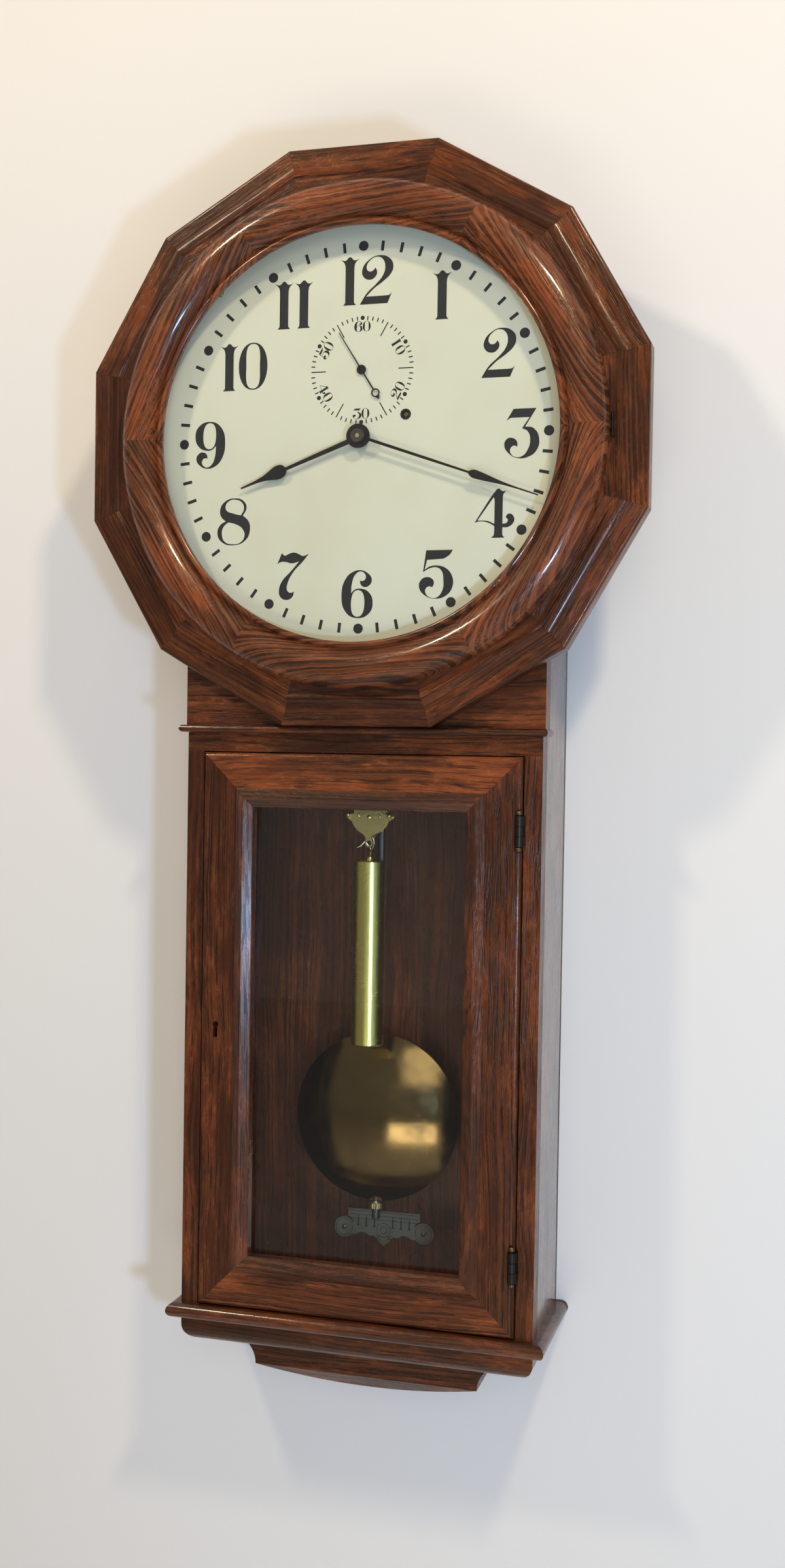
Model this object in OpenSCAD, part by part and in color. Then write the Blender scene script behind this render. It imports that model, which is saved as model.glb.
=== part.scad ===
// Weight-driven wall regulator with a twelve-sided oak head, a glazed trunk door,
// a dead-beat movement with sweep-free seconds, and a 0.75 second pendulum.
// The row frame has X to the right, Y towards the wall and Z up. The origin is the
// hanger hole on the wall plane. Every piece is drawn as seen from the front, with
// X to the right, Y up from the dial centre and Z forward from the wall, and stood up.

/* [Trunk and head box] */
// Width of the trunk over its sides
trunk_w = 260; // [246:1:290]
// Depth from the wall to the front of the trunk
trunk_d = 91; // [89:0.5:100]
// Thickness of the side, top and back boards
board_t = 12; // [9:0.5:13]
// Thickness of the backboard
back_t = 10; // [8:0.5:11]
// Thickness of the front frame and of the head panel
face_t = 16; // [12:0.5:18]
// How far the head panel overhangs each side
head_lip = 1.5; // [0.5:0.5:3]
// Drop from the frame's top flat to the top of the head box
head_inset = 52; // [50:1:60]
// Gap between the frame's lower flat and the waist bead
waist_gap = 0; // [0:0.5:12]
// Drop from the dial centre to the top of the base board
foot_drop = 620; // [600:1:680]
// Drop from the top of the head box to the hanger hole
hang_inset = 28; // [27:1:43]
// Hole in the head panel for the movement
panel_hole_d = 236; // [232:1:240]

/* [Waist bead] */
// Thickness of the bead that parts the head from the trunk
bead_t = 5.2; // [4:0.2:8]
// How far the bead stands in front of the trunk
bead_reach = 8; // [5:0.5:12]
// How far the bead runs past each side of the trunk
bead_over = 4.5; // [2:0.5:8]

/* [Twelve-sided frame] */
// Width across the flats
frame_af = 400; // [392:1:420]
// Thickness at the outer edge
frame_t = 16; // [12:0.5:20]
// Radius that softens the front edge
frame_edge_r = 2.5; // [1:0.5:4]
// Width of the flat band inside the edge
frame_band = 12.5; // [8:0.5:14]
// Width of the cove
cove_w = 7; // [5:0.5:9]
// Rise of the cove
cove_h = 4.5; // [3:0.5:6.5]
// Width of the arris on top of the cove
arris_w = 0.7; // [0.3:0.1:1.5]
// Step from the arris down to the ledge
ledge_step = 1; // [0.5:0.5:3]
// Radial gap from the dial plate to the frame's round opening
bore_gap = 1.5; // [1:0.5:3.5]

/* [Bezel] */
// Width of the ledge that shows round the bezel ring
ledge_show = 3.5; // [3.5:0.5:8]
// Width of the bezel ring, from its foot to the sight opening
ring_w = 32.5; // [30:0.5:36]
// Height of the convex round above the ledge
bezel_h = 14; // [10:0.5:18]
// Diameter of the fine bead round the glass
lip_d = 4.6; // [3:0.2:6]
// Thickness of the bezel glass
bezel_glass_t = 2; // [1.5:0.1:2.2]
// Depth of the rebate that holds the glass
rebate_h = 2.4; // [2.3:0.1:3]

/* [Trunk door] */
// Width of the trunk's front frame beside the door, with the running gap
stile_show = 13.3; // [12:0.1:17.5]
// Thickness of the door
door_t = 19; // [15:0.5:22]
// How far the door stands in front of the trunk
door_proud = 3; // [1:0.5:6]
// Height of the rail above the door
rail_h = 14.3; // [10:0.5:20]
// Running gap round the door
door_gap = 0.8; // [0.5:0.1:1.5]
// Radius on the door's outer front edges
door_edge_r = 3; // [1:0.5:4]
// Width of stile and rail seen outside the moulding
door_flat = 25.5; // [20:0.5:30]
// Width of the glazing moulding
mould_w = 13.2; // [10:0.2:16]
// Height of the moulding's ridge above the door
mould_h = 4.4; // [2:0.2:6]
// Width of the facet that falls outwards from the ridge
mould_facet = 6; // [4:0.2:8]
// Fall of the slope from the ridge to the sight edge
mould_fall = 3; // [1:0.2:4]
// Width of the moulding's lip over the glass
mould_lip = 6; // [4:0.5:8]
// Thickness of the door glass
door_glass_t = 2.5; // [2:0.1:3]
// Distance from the door's back face to its glass
glass_inset = 9.5; // [8:0.5:10.5]

/* [Door hinges and lock] */
// Length of each hinge knuckle stack
hinge_h = 21; // [15:0.5:30]
// Diameter of the knuckles
hinge_d = 5.8; // [4:0.2:6.4]
// Diameter of the ball tips of the pins
hinge_ball_d = 4.4; // [3:0.2:5]
// Drop from the door's top to the first hinge's centre
hinge_inset = 50.5; // [35:0.5:80]
// Height of the keyhole above the door's middle
key_rise = 4; // [-40:1:60]
// Travel of the lock bolt
bolt_travel = 5; // [3:0.5:6]

/* [Base] */
// Thickness of the base board with the round nosing
base_t = 10.4; // [8:0.2:14]
// How far the base board stands out at the front and sides
base_over = 9; // [5:0.5:14]
// Thickness of the quarter-round layer
ovolo_t = 19; // [15:0.5:24]
// Radius of its lower edge
ovolo_r = 13; // [8:0.5:14]
// Height of the bottom drop down to its front lower edge
drop_h = 22.7; // [20.5:0.5:30]
// Half width of the drop at its foot
drop_half = 84; // [70:1:95]
// Depth of the drop from the wall
drop_d = 58.5; // [45:0.5:75]
// Radius of the coves at the ends of the drop
drop_cove_r = 20; // [12:1:22]
// Depth of the arch under the drop's foot
arch_h = 11.3; // [6:0.1:14]

/* [Dial and hands] */
// How far the painted dial plate runs on behind the sight opening's edge
dial_lap = 10.5; // [10:0.5:12]
// Thickness of the dial plate
dial_t = 1.2; // [0.8:0.1:2]
// Gap from the head panel to the back of the dial
dial_standoff = 7.8; // [7:0.1:8.4]
// Gap between the minute hand's tip and the sight opening
minute_gap = 8; // [5:0.5:30]
// Half width of the minute hand's leaf
minute_leaf = 2.9; // [2:0.1:4]
// Length of the hour hand from its centre
hour_len = 93; // [75:1:105]
// Half width of the hour hand's leaf
hour_leaf = 4.8; // [3:0.1:6]
// Length of the seconds hand from its centre
second_len = 31; // [24:0.5:36]
// Minutes past the hour that the hands show
shown_min = 18.2; // [0:0.1:59.9]
// Hour that the hands show
shown_hour = 8; // [0:1:11]
// Seconds that the small hand shows
shown_sec = 54.6; // [0:0.1:59.9]

/* [Movement] */
// Distance from the centre arbor up to the escape arbor
escape_rise = 46.7; // [46:0.1:48]
// Distance from the escape arbor up to the pallet arbor
pallet_rise = 25.3; // [25.1:0.1:25.6]
// Radius to the tips of the escape wheel
escape_r = 17.2; // [17:0.05:17.3]
// Winding arbor, to the right of the centre
wind_x = 32; // [30:0.5:34]
// Winding arbor, above the centre
wind_y = 15; // [13:0.5:17]
// Half width of the movement plates
plate_half = 56; // [52:1:60]
// Thickness of the movement plates
plate_t = 2.5; // [2:0.1:3]
// Back face of the rear plate, from the wall
rear_plate_z = 44; // [43:0.5:46]
// Back face of the front plate, from the wall
front_plate_z = 82; // [81.5:0.5:83]
// Radius of the arbor pivots
pivot_r = 1.5; // [1.2:0.1:1.8]
// Radial clearance of pivots and arbors in their holes
run_gap = 0.05; // [0.03:0.01:0.08]

/* [Weight and pulley] */
// Diameter of the weight
weight_d = 23.5; // [18:0.5:24]
// Length of the weight's shell
weight_len = 133; // [100:1:150]
// Drop from the dial centre to the pulley pin
pulley_drop = 264.3; // [250:1:290]
// Distance of the weight's axis from the wall
weight_z = 62.5; // [62:0.5:63]
// Radius of the sheave's rim
sheave_r = 12.4; // [11:0.1:12.8]
// Diameter of the line
line_d = 1.2; // [0.8:0.1:1.4]
// Radius of the winding drum
drum_r = 9.5; // [8.5:0.1:10.5]
// Travel of the weight above where it is shown
travel_up = 185; // [150:1:190]
// Travel of the weight below where it is shown
travel_down = 165; // [120:1:168]

/* [Pendulum and beat scale] */
// Length from the pivot to the centre of the bob
pendulum_len = 559; // [550:1:570]
// Distance of the pendulum's plane from the wall
pend_z = 33; // [31:0.5:34]
// Diameter of the bob
bob_d = 124; // [110:1:130]
// Thickness of the bob at its middle
bob_t = 30; // [22:0.5:32]
// Thickness of the bob at its rim
bob_rim = 3; // [2:0.5:6]
// Diameter of the rod
rod_d = 6; // [5:0.5:7]
// Distance between the end discs of the beat scale
scale_span = 62; // [54:1:70]
// Drop from the bob's centre to the beat scale
scale_drop = 91; // [88:1:96]

/* [Hidden] */
$fn = 96;
fine = 240;
seat = 0.3;
joint = 0.06;
eps = 0.01;

oak = [0.36, 0.17, 0.09];
dark_oak = [0.24, 0.12, 0.07];
brass = [0.80, 0.65, 0.30];
steel = [0.55, 0.56, 0.58];
black_steel = [0.08, 0.08, 0.09];
bronze = [0.28, 0.21, 0.14];
dial_cream = [0.91, 0.91, 0.82];
glass = [0.75, 0.82, 0.82, 0.35];

// Heights are measured up from the dial centre, so what hangs below it is negative.
apothem = frame_af / 2;
head_rise = apothem - head_inset;
hang_rise = head_rise - hang_inset;
waist_drop = apothem + waist_gap;
side_z = trunk_d - face_t;
foot_y = -foot_drop;
door_top = -waist_drop - bead_t - rail_h;
door_h = foot_drop + door_top - door_gap;
door_w = trunk_w - 2 * stile_show;
door_mid_y = door_top - door_h / 2;
door_front = trunk_d + door_proud;
door_back = door_front - door_t;
open_half = door_w / 2 + door_gap;
sight_half = door_w / 2 - door_flat - mould_w;
sight_h = door_h - 2 * (door_flat + mould_w);
stile_w = door_flat + mould_w - mould_lip;
glass_back = door_back + glass_inset;
mould_step = 0.6;
mould_break = 0.5;
floor_y = foot_y;
inner_half = trunk_w / 2 - board_t;

frame_front = trunk_d + frame_t;
ledge_z = frame_front + cove_h - ledge_step;
arris_out = apothem - frame_band - cove_w;
slope_w = 1.8;
mitre_gap = 0.08;
sides = 12;
bezel_back = ledge_z + seat;
bezel_r = arris_out - arris_w - slope_w - ledge_show;
sight_r = bezel_r - ring_w;
rebate_w = 5.5;
rebate_r = sight_r + rebate_w;
glass_z = bezel_back + 0.2;
dial_r = sight_r + dial_lap;
bore_r = dial_r + bore_gap;
minute_len = sight_r - minute_gap;

dial_back = trunk_d + dial_standoff;
dial_front = dial_back + dial_t;
arbor_gap = 0.3;

// Tooth numbers give 80 beats a minute and one turn of the seconds hand a minute.
great_n = 128;
centre_pinion_n = 8;
centre_n = 64;
third_pinion_n = 8;
third_n = 60;
escape_pinion_n = 8;
escape_n = 40;
cannon_n = 12;
minute_n = 36;
minute_pinion_n = 10;
hour_n = 40;
pinion_z_len = 3.4;

function pitch_module(distance, a, b) = 2 * distance / (a + b);
great_m = pitch_module(norm([wind_x, wind_y]), great_n, centre_pinion_n);
centre_m = 0.9;
third_m = 0.8;
cannon_m = 0.625;
hour_m = cannon_m * (cannon_n + minute_n) / (minute_pinion_n + hour_n);

// The third arbor stands where both of its centre distances meet.
centre_third = centre_m * (centre_n + third_pinion_n) / 2;
third_escape = third_m * (third_n + escape_pinion_n) / 2;
third_y = (escape_rise * escape_rise + centre_third * centre_third - third_escape * third_escape)
    / (2 * escape_rise);
third_x = -sqrt(centre_third * centre_third - third_y * third_y);
pallet_y = escape_rise + pallet_rise;
minute_arm = cannon_m * (cannon_n + minute_n) / 2;
minute_at = 225;
minute_x = minute_arm * cos(minute_at);
minute_y = minute_arm * sin(minute_at);

// Levels of the wheels, from the wall.
rear_in = rear_plate_z + plate_t;
front_out = front_plate_z + plate_t;
wheel_t = 1.5;
escape_z = rear_in + 1;
centre_z = rear_in + 4;
third_z = rear_in + 7.5;
great_t = 2;
great_z = front_plate_z - 7;
ratchet_t = 1.8;
ratchet_z = great_z - ratchet_t - 0.1;
drum_z0 = ratchet_z - 21;
cannon_z = front_out + 3;
minute_z = cannon_z + 0.8;
hour_z = minute_z + 3.4;
hour_hand_z = dial_front + 3.2;
minute_hand_z = hour_hand_z + 3.3;
seconds_hand_z = dial_front + 1;
hand_t = 0.9;
nut_top = minute_hand_z + 3.2;

// Tooth phases put a tooth of one wheel in a gap of the next.
function gap_towards(at, phase, n_from, n_to) = at + 180 - (phase - at) * n_from / n_to;
function tooth_towards(at, phase, n_from, n_to) = gap_towards(at, phase, n_from, n_to) + 180 / n_to;
function heading(x, y) = atan2(y, x);
centre_phase = 0;
great_phase = tooth_towards(heading(wind_x, wind_y), centre_phase, centre_pinion_n, great_n);
third_phase = tooth_towards(heading(third_x, third_y), centre_phase, centre_n, third_pinion_n);
escape_pin_phase = tooth_towards(heading(-third_x, escape_rise - third_y), third_phase, third_n,
    escape_pinion_n);
minute_phase = tooth_towards(minute_at, centre_phase, cannon_n, minute_n);
hour_phase = tooth_towards(minute_at + 180, minute_phase, minute_pinion_n, hour_n);

// The pallets touch the wheel where the tangents from their arbor do.
pallet_span = acos(escape_r / pallet_rise);
pallet_arm = sqrt(pallet_rise * pallet_rise - escape_r * escape_r);
nib_w = 0.7;
nib_lock = 0.06;
entry_at = 90 + pallet_span;
escape_phase = entry_at + 2;

suspend_y = pallet_y;
bob_y = suspend_y - pendulum_len;
scale_y = bob_y - scale_drop;
rod_foot = bob_y - bob_d / 2 - 13.5;
pulley_y = -pulley_drop;
line_r = line_d / 2;
fall_x = sheave_r - 0.6;
anchor_y = wind_y;
anchor_r = 1.5;
drum_fall_x = wind_x - drum_r - line_r - 0.05;
weight_top = pulley_y - 31.1;
hinge_x = door_w / 2 - 1.5;
hinge_z = door_front + 2;
hinge_ys = [door_top - hinge_inset, door_top - door_h + hinge_inset];
hinge_pin_r = 1.3;
key_x = -door_w / 2 + 11.5;
key_r = 2.2;
key_slot = 3.2;
key_drop = 9.5;
key_y = door_mid_y + key_rise;
bezel_hinge_x = bezel_r + 1.5;
bezel_hinge_z = bezel_back + 1.2;
bezel_hinge_r = 0.9;
bezel_hinge_h = 16;

// Stands a front view up, so that its Y becomes Z and its Z points away from the wall.
module upright() {
    translate([0, 0, -hang_rise]) rotate([90, 0, 0]) children();
}

module at(x, y, z = 0) {
    translate([x, y, z]) children();
}

module slab(z, t) {
    translate([0, 0, z]) linear_extrude(t) children();
}

module box_at(x0, x1, y0, y1, z0, z1) {
    translate([x0, y0, z0]) cube([x1 - x0, y1 - y0, z1 - z0]);
}

module rod(z0, z1, r) {
    translate([0, 0, z0]) cylinder(h = z1 - z0, r = r);
}

// A cylinder that stands along Y.
module post(y0, y1, r) {
    translate([0, y0, 0]) rotate([-90, 0, 0]) cylinder(h = y1 - y0, r = r);
}

// A bar along X whose profile has X outwards from the middle and Y forward.
module bar_x(len) {
    rotate([90, 0, 90]) translate([0, 0, -len / 2]) linear_extrude(len) children();
}

// A bar whose mitred ends lean out at the given angle from its own middle plane.
module mitred(half, reach, lean, z0, z1) {
    intersection() {
        bar_x(2 * (half + reach) + 2) children();
        slab(z0, z1 - z0)
            polygon([[-half, 0], [half, 0], [half + reach * tan(lean), reach],
                [-half - reach * tan(lean), reach]]);
    }
}

module rounded_rect(w, h, r) {
    square([w - 2 * r, h], center = true);
    square([w, h - 2 * r], center = true);
    for (sx = [-1, 1], sy = [-1, 1])
        translate([sx * (w / 2 - r), sy * (h / 2 - r)]) circle(r);
}

// Teeth as polar points, with the widths as shares of the pitch.
function tooth_points(n, r_root, r_pitch, r_tip, w_root, w_pitch, w_tip, phase) =
    [for (i = [0:n - 1]) let (c = phase + i * 360 / n, p = 180 / n)
        each [[r_root, c - w_root * p], [r_pitch, c - w_pitch * p], [r_tip, c - w_tip * p],
            [r_tip, c + w_tip * p], [r_pitch, c + w_pitch * p], [r_root, c + w_root * p]]];
function polar(list) = [for (q = list) [q[0] * cos(q[1]), q[0] * sin(q[1])]];

module wheel_teeth(n, m, phase) {
    r = n * m / 2;
    polygon(polar(tooth_points(n, r - 1.25 * m, r, r + 0.95 * m, 0.56, 0.45, 0.16, phase)));
}

module pinion_teeth(n, m, phase) {
    r = n * m / 2;
    polygon(polar(tooth_points(n, r - 1.35 * m, r, r + 0.65 * m, 0.42, 0.37, 0.18, phase)));
}

// A wheel blank's window pattern: a rim, a hub and straight spokes.
module crossings(r_rim, r_hub, count, spoke_w) {
    difference() {
        circle(r_rim);
        circle(r_hub);
        for (i = [0:count - 1]) rotate(i * 360 / count) translate([0, -spoke_w / 2])
            square([r_rim + 1, spoke_w]);
    }
}

module spoked_wheel(n, m, phase, hub_r, count, spoke_w) {
    difference() {
        wheel_teeth(n, m, phase);
        crossings(n * m / 2 - 1.25 * m - 2.2, hub_r, count, spoke_w);
    }
}

// Case

module backboard() {
    color(dark_oak) upright() difference() {
        box_at(-inner_half, inner_half, floor_y, head_rise, 0, back_t);
        at(0, hang_rise, -eps) linear_extrude(hanger_t + eps)
            rounded_rect(hanger_w + 0.2, hanger_h + 0.2, hanger_corner);
        at(0, hang_rise) rod(0, back_t - 2.5, hanger_relief_r);
        for (sy = [-1, 1]) at(0, hang_rise + sy * hanger_screw_y)
            rod(0, screw_len, screw_r + run_gap);
        for (sx = [-1, 1]) at(sx * steady_span / 2, steady_y)
            rod(-1, back_t + 1, steady_r);
        for (sx = [-1, 1]) at(sx * scale_span / 2, scale_y)
            rod(back_t - 6, back_t + 1, screw_r + run_gap);
    }
}

hanger_w = 30;
hanger_h = 50;
hanger_t = 2;
hanger_corner = 5;
hanger_hole_r = 4.5;
hanger_relief_r = 9;
hanger_screw_y = 19;
screw_r = 1.3;
screw_head_r = 2.9;
screw_len = 7.2;
steady_span = 190;
steady_y = foot_y + 22;
steady_r = 2.4;

module hanger_plate() {
    color(brass) upright() at(0, hang_rise) difference() {
        slab(0, hanger_t) rounded_rect(hanger_w, hanger_h, hanger_corner);
        rod(-1, hanger_t + 1, hanger_hole_r);
        for (sy = [-1, 1]) at(0, sy * hanger_screw_y) {
            rod(-1, hanger_t + 1, screw_r + run_gap);
            rod(-1, 0.9, screw_head_r + run_gap);
        }
    }
}

module side_board() {
    box_at(0, board_t, floor_y, head_rise, 0, side_z);
}

module side_left() {
    color(oak) upright() at(-trunk_w / 2, 0) side_board();
}

module side_right() {
    color(oak) upright() at(trunk_w / 2 - board_t, 0) side_board();
}

module top_board() {
    color(oak) upright()
        box_at(-inner_half, inner_half, head_rise - board_t, head_rise, back_t, side_z);
}

module head_panel() {
    half = trunk_w / 2 + head_lip;
    color(oak) upright() difference() {
        box_at(-half, half, -waist_drop, head_rise, side_z, trunk_d);
        rod(side_z - 1, trunk_d + 1, panel_hole_d / 2, $fn = fine);
    }
}

module trunk_face_frame() {
    stile = trunk_w / 2 - open_half;
    top = -waist_drop - bead_t - joint;
    color(oak) upright() {
        difference() {
            box_at(-trunk_w / 2, -open_half, foot_y, top, side_z, trunk_d);
            box_at(-open_half - bolt_travel - 1.5, -open_half + 1, key_y - 7, key_y + 7,
                bolt_z - 2.5, bolt_z + 2.5);
        }
        difference() {
            box_at(open_half, open_half + stile, foot_y, top, side_z, trunk_d);
            for (y = hinge_ys) box_at(open_half - 1, open_half + hinge_leaf_t + 0.05,
                y - hinge_h / 2 - 0.1, y + hinge_h / 2 + 0.1, hinge_leaf_z, trunk_d + 1);
        }
        box_at(-open_half + joint, open_half - joint, door_top + door_gap, top, side_z, trunk_d);
    }
}

// Half-round strip on the front, with each end turned to the same round.
module bead_moulding() {
    r = bead_t / 2;
    half = trunk_w / 2 + bead_over;
    front = trunk_d + bead_reach;
    color(oak) upright() at(0, -waist_drop - r - joint / 2) intersection() {
        bar_x(2 * half) {
            translate([-r, side_z]) square([bead_t, front - r - side_z]);
            translate([0, front - r]) circle(r);
        }
        slab(side_z, front - side_z) {
            square([2 * (half - r), bead_t], center = true);
            for (sx = [-1, 1]) translate([sx * (half - r), 0]) circle(r);
        }
    }
}

// Section of the twelve-sided frame, from the round opening out to the edge.
module frame_section() {
    inner = bore_r * cos(180 / sides) - 8;
    cove_r = (cove_w * cove_w + cove_h * cove_h) / (2 * cove_h);
    band_in = apothem - frame_band;
    difference() {
        union() {
            translate([inner, trunk_d]) square([apothem - inner, frame_t - frame_edge_r]);
            translate([inner, trunk_d]) square([apothem - frame_edge_r - inner, frame_t]);
            translate([apothem - frame_edge_r, frame_front - frame_edge_r]) circle(frame_edge_r);
            polygon([[inner, frame_front - 1], [band_in, frame_front - 1], [band_in, frame_front],
                [band_in, ledge_z + ledge_step], [arris_out - arris_w, ledge_z + ledge_step],
                [arris_out - arris_w - slope_w, ledge_z], [inner, ledge_z]]);
        }
        translate([band_in, frame_front + cove_r]) circle(cove_r, $fn = fine);
    }
}

module frame_segments() {
    color(oak) upright() for (k = [0:sides - 1]) rotate(k * 360 / sides) difference() {
        intersection() {
            bar_x(frame_af) frame_section();
            slab(trunk_d, frame_t + cove_h + 1)
                polygon([[0, mitre_gap / 2 / sin(180 / sides)],
                    [(apothem + 5) * tan(180 / sides) - mitre_gap / 2, apothem + 5],
                    [-(apothem + 5) * tan(180 / sides) + mitre_gap / 2, apothem + 5]]);
        }
        rod(trunk_d - 1, frame_front + cove_h + 1, bore_r, $fn = fine);
    }
}

module base_board() {
    r = base_t / 2;
    half = trunk_w / 2 + base_over;
    front = trunk_d + base_over;
    color(oak) upright() at(0, foot_y - r) intersection() {
        bar_x(2 * half) {
            translate([-r, 0]) square([base_t, front - r]);
            translate([0, front - r]) circle(r);
        }
        slab(0, front) {
            square([2 * (half - r), base_t], center = true);
            for (sx = [-1, 1]) translate([sx * (half - r), 0]) circle(r);
        }
    }
}

module base_ovolo() {
    half = trunk_w / 2;
    top = foot_y - base_t;
    low = top - ovolo_t;
    color(oak) upright() intersection() {
        bar_x(trunk_w) {
            translate([low + ovolo_r, 0]) square([ovolo_t - ovolo_r, trunk_d]);
            translate([low, 0]) square([ovolo_t, trunk_d - ovolo_r]);
            translate([low + ovolo_r, trunk_d - ovolo_r]) circle(ovolo_r);
        }
        slab(0, trunk_d) {
            translate([-half, low + ovolo_r]) square([trunk_w, ovolo_t - ovolo_r]);
            translate([-half + ovolo_r, low]) square([trunk_w - 2 * ovolo_r, ovolo_t]);
            for (sx = [-1, 1]) translate([sx * (half - ovolo_r), low + ovolo_r]) circle(ovolo_r);
        }
        box_at(-half, half, low, top, 0, trunk_d);
    }
}

// Shaped drop with coved ends, an arched foot and a chamfer that runs back under it.
module base_drop() {
    top = foot_y - base_t - ovolo_t;
    low = top - drop_h;
    half = drop_half + drop_cove_r;
    arch_r = (drop_half * drop_half + arch_h * arch_h) / (2 * arch_h);
    color(oak) upright() intersection() {
        slab(0, drop_d) difference() {
            union() {
                translate([-half, low]) square([2 * half, drop_h]);
                intersection() {
                    translate([0, low - arch_h + arch_r]) circle(arch_r, $fn = fine);
                    translate([-drop_half, low - arch_h]) square([2 * drop_half, arch_h + 1]);
                }
            }
            for (sx = [-1, 1]) translate([sx * half, low]) circle(drop_cove_r);
        }
        bar_x(2 * half) polygon([[top, 0], [top, drop_d], [low, drop_d],
            [low - arch_h - 1, drop_d - arch_h - 1], [low - arch_h - 1, 0]]);
    }
}

module round_screw(z, len, head_r) {
    rod(z - len, z, screw_r);
    at(0, 0, z) difference() {
        scale_dome(head_r, head_r / 2);
        box_at(-head_r, head_r, -0.35, 0.35, 0.9, 3);
    }
}

// A shallow dome: the cap of a sphere of the right radius.
module scale_dome(r, h) {
    cap = (r * r + h * h) / (2 * h);
    intersection() {
        translate([0, 0, h - cap]) sphere(cap);
        cylinder(h = h + 1, r = r);
    }
}

module wood_screws() {
    color(brass) upright() {
        for (sx = [-1, 1]) at(sx * scale_span / 2, scale_y) round_screw(back_t + scale_t, 6,
            scale_head_r);
        for (k = [0:3]) rotate(45 + 90 * k) at(dial_screw_r, 0) round_screw(dial_front, 8,
            dial_head_r);
        for (sy = [-1, 1]) at(0, hang_rise + sy * hanger_screw_y) {
            rod(0.1, 6.8, screw_r);
            rod(0.1, 0.8, screw_head_r);
        }
    }
}

// Dial

dial_screw_r = sight_r + 7.3;
dial_head_r = 2.2;
scale_head_r = 1.9;
winding_hole_r = 3;
grommet_r = 2.5;
grommet_lip = 0.7;
hour_pipe_r = 4.6;

module dial_ring() {
    outer = dial_r - 1;
    color(oak) upright() difference() {
        rod(trunk_d, dial_back, outer, $fn = fine);
        rod(trunk_d - 1, dial_back + 1, outer - 12, $fn = fine);
        for (k = [0:3]) rotate(45 + 90 * k) at(dial_screw_r, 0)
            rod(trunk_d + 0.5, dial_back + 1, screw_r + run_gap);
    }
}

module dial_plate() {
    color(dial_cream) upright() difference() {
        rod(dial_back, dial_front, dial_r, $fn = fine);
        rod(dial_back - 1, dial_front + 1, hour_pipe_r + 1.4);
        at(0, escape_rise) rod(dial_back - 1, dial_front + 1, 2.2);
        at(wind_x, wind_y) rod(dial_back - 1, dial_front + 1, winding_hole_r);
        for (k = [0:3]) rotate(45 + 90 * k) at(dial_screw_r, 0)
            rod(dial_back - 1, dial_front + 1, screw_r + run_gap);
    }
}

module winding_grommet() {
    color(brass) upright() at(wind_x, wind_y) difference() {
        union() {
            rod(dial_back - 1.2, dial_front + 0.5, winding_hole_r - run_gap);
            rod(dial_front, dial_front + 0.5, winding_hole_r + grommet_lip);
        }
        rod(dial_back - 3, dial_front + 2, grommet_r);
    }
}

// Beat scale

scale_t = 1.4;

// Outline with its end discs one unit from the middle.
module scale_outline() {
    disc = 0.248;
    band = 0.468;
    difference() {
        union() {
            for (sx = [-1, 1]) translate([sx, 0]) circle(disc);
            difference() {
                translate([-0.903, -0.161]) square([1.806, band + 0.161]);
                for (sx = [-1, 1]) translate([sx * 0.89, band - 0.31]) circle(0.11);
            }
            circle(0.277);
            polygon([[-0.27, -0.065], [-0.13, -0.277], [0, -0.387], [0.13, -0.277],
                [0.27, -0.065]]);
        }
        for (sx = [-1, 1]) translate([sx * 0.532, -0.303]) circle(0.213);
    }
}

module beat_scale() {
    half = scale_span / 2;
    color("silver") upright() at(0, scale_y, back_t) linear_extrude(scale_t) difference() {
        scale([half, half]) scale_outline();
        for (sx = [-1, 1]) translate([sx * half, 0]) circle(screw_r + run_gap);
    }
}

// Door furniture that stays with the case

hinge_leaf_t = 1.2;
hinge_leaf_w = 13;
hinge_leaf_z = hinge_z - hinge_leaf_w;
knuckle_gap = 0.15;

// Knuckle spans up the barrel: the case has the outer two, the door the middle one.
function knuckle(k) = [-hinge_h / 2 + k * hinge_h / 3 + knuckle_gap,
    -hinge_h / 2 + (k + 1) * hinge_h / 3 - knuckle_gap];

module knuckles(which) {
    for (k = which) at(hinge_x, 0, hinge_z) post(knuckle(k)[0], knuckle(k)[1], hinge_d / 2);
}

module pin_bore() {
    at(hinge_x, 0, hinge_z) post(-hinge_h, hinge_h, hinge_pin_r + run_gap);
}

module case_hinge_leaves() {
    leaf_x = open_half;
    color(bronze) upright() for (y = hinge_ys) at(0, y) difference() {
        union() {
            knuckles([0, 2]);
            box_at(leaf_x, leaf_x + hinge_leaf_t, -hinge_h / 2, hinge_h / 2, hinge_leaf_z,
                trunk_d + 0.6);
            for (k = [0, 2]) box_at(hinge_x + 0.8, leaf_x + hinge_leaf_t, knuckle(k)[0],
                knuckle(k)[1], trunk_d + 0.4, hinge_z + 0.6);
        }
        pin_bore();
    }
}

module hinge_pins() {
    color(bronze) upright() for (y = hinge_ys) at(hinge_x, y, hinge_z) {
        post(-hinge_h / 2 - 1, hinge_h / 2 + 1, hinge_pin_r);
        for (sy = [-1, 1]) at(0, sy * (hinge_h / 2 + hinge_ball_d / 2 - 0.4))
            sphere(hinge_ball_d / 2);
    }
}

module bezel_knuckles(spans) {
    for (s = spans) at(bezel_hinge_x, 0, bezel_hinge_z) post(s[0], s[1], bezel_hinge_r);
}

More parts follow.
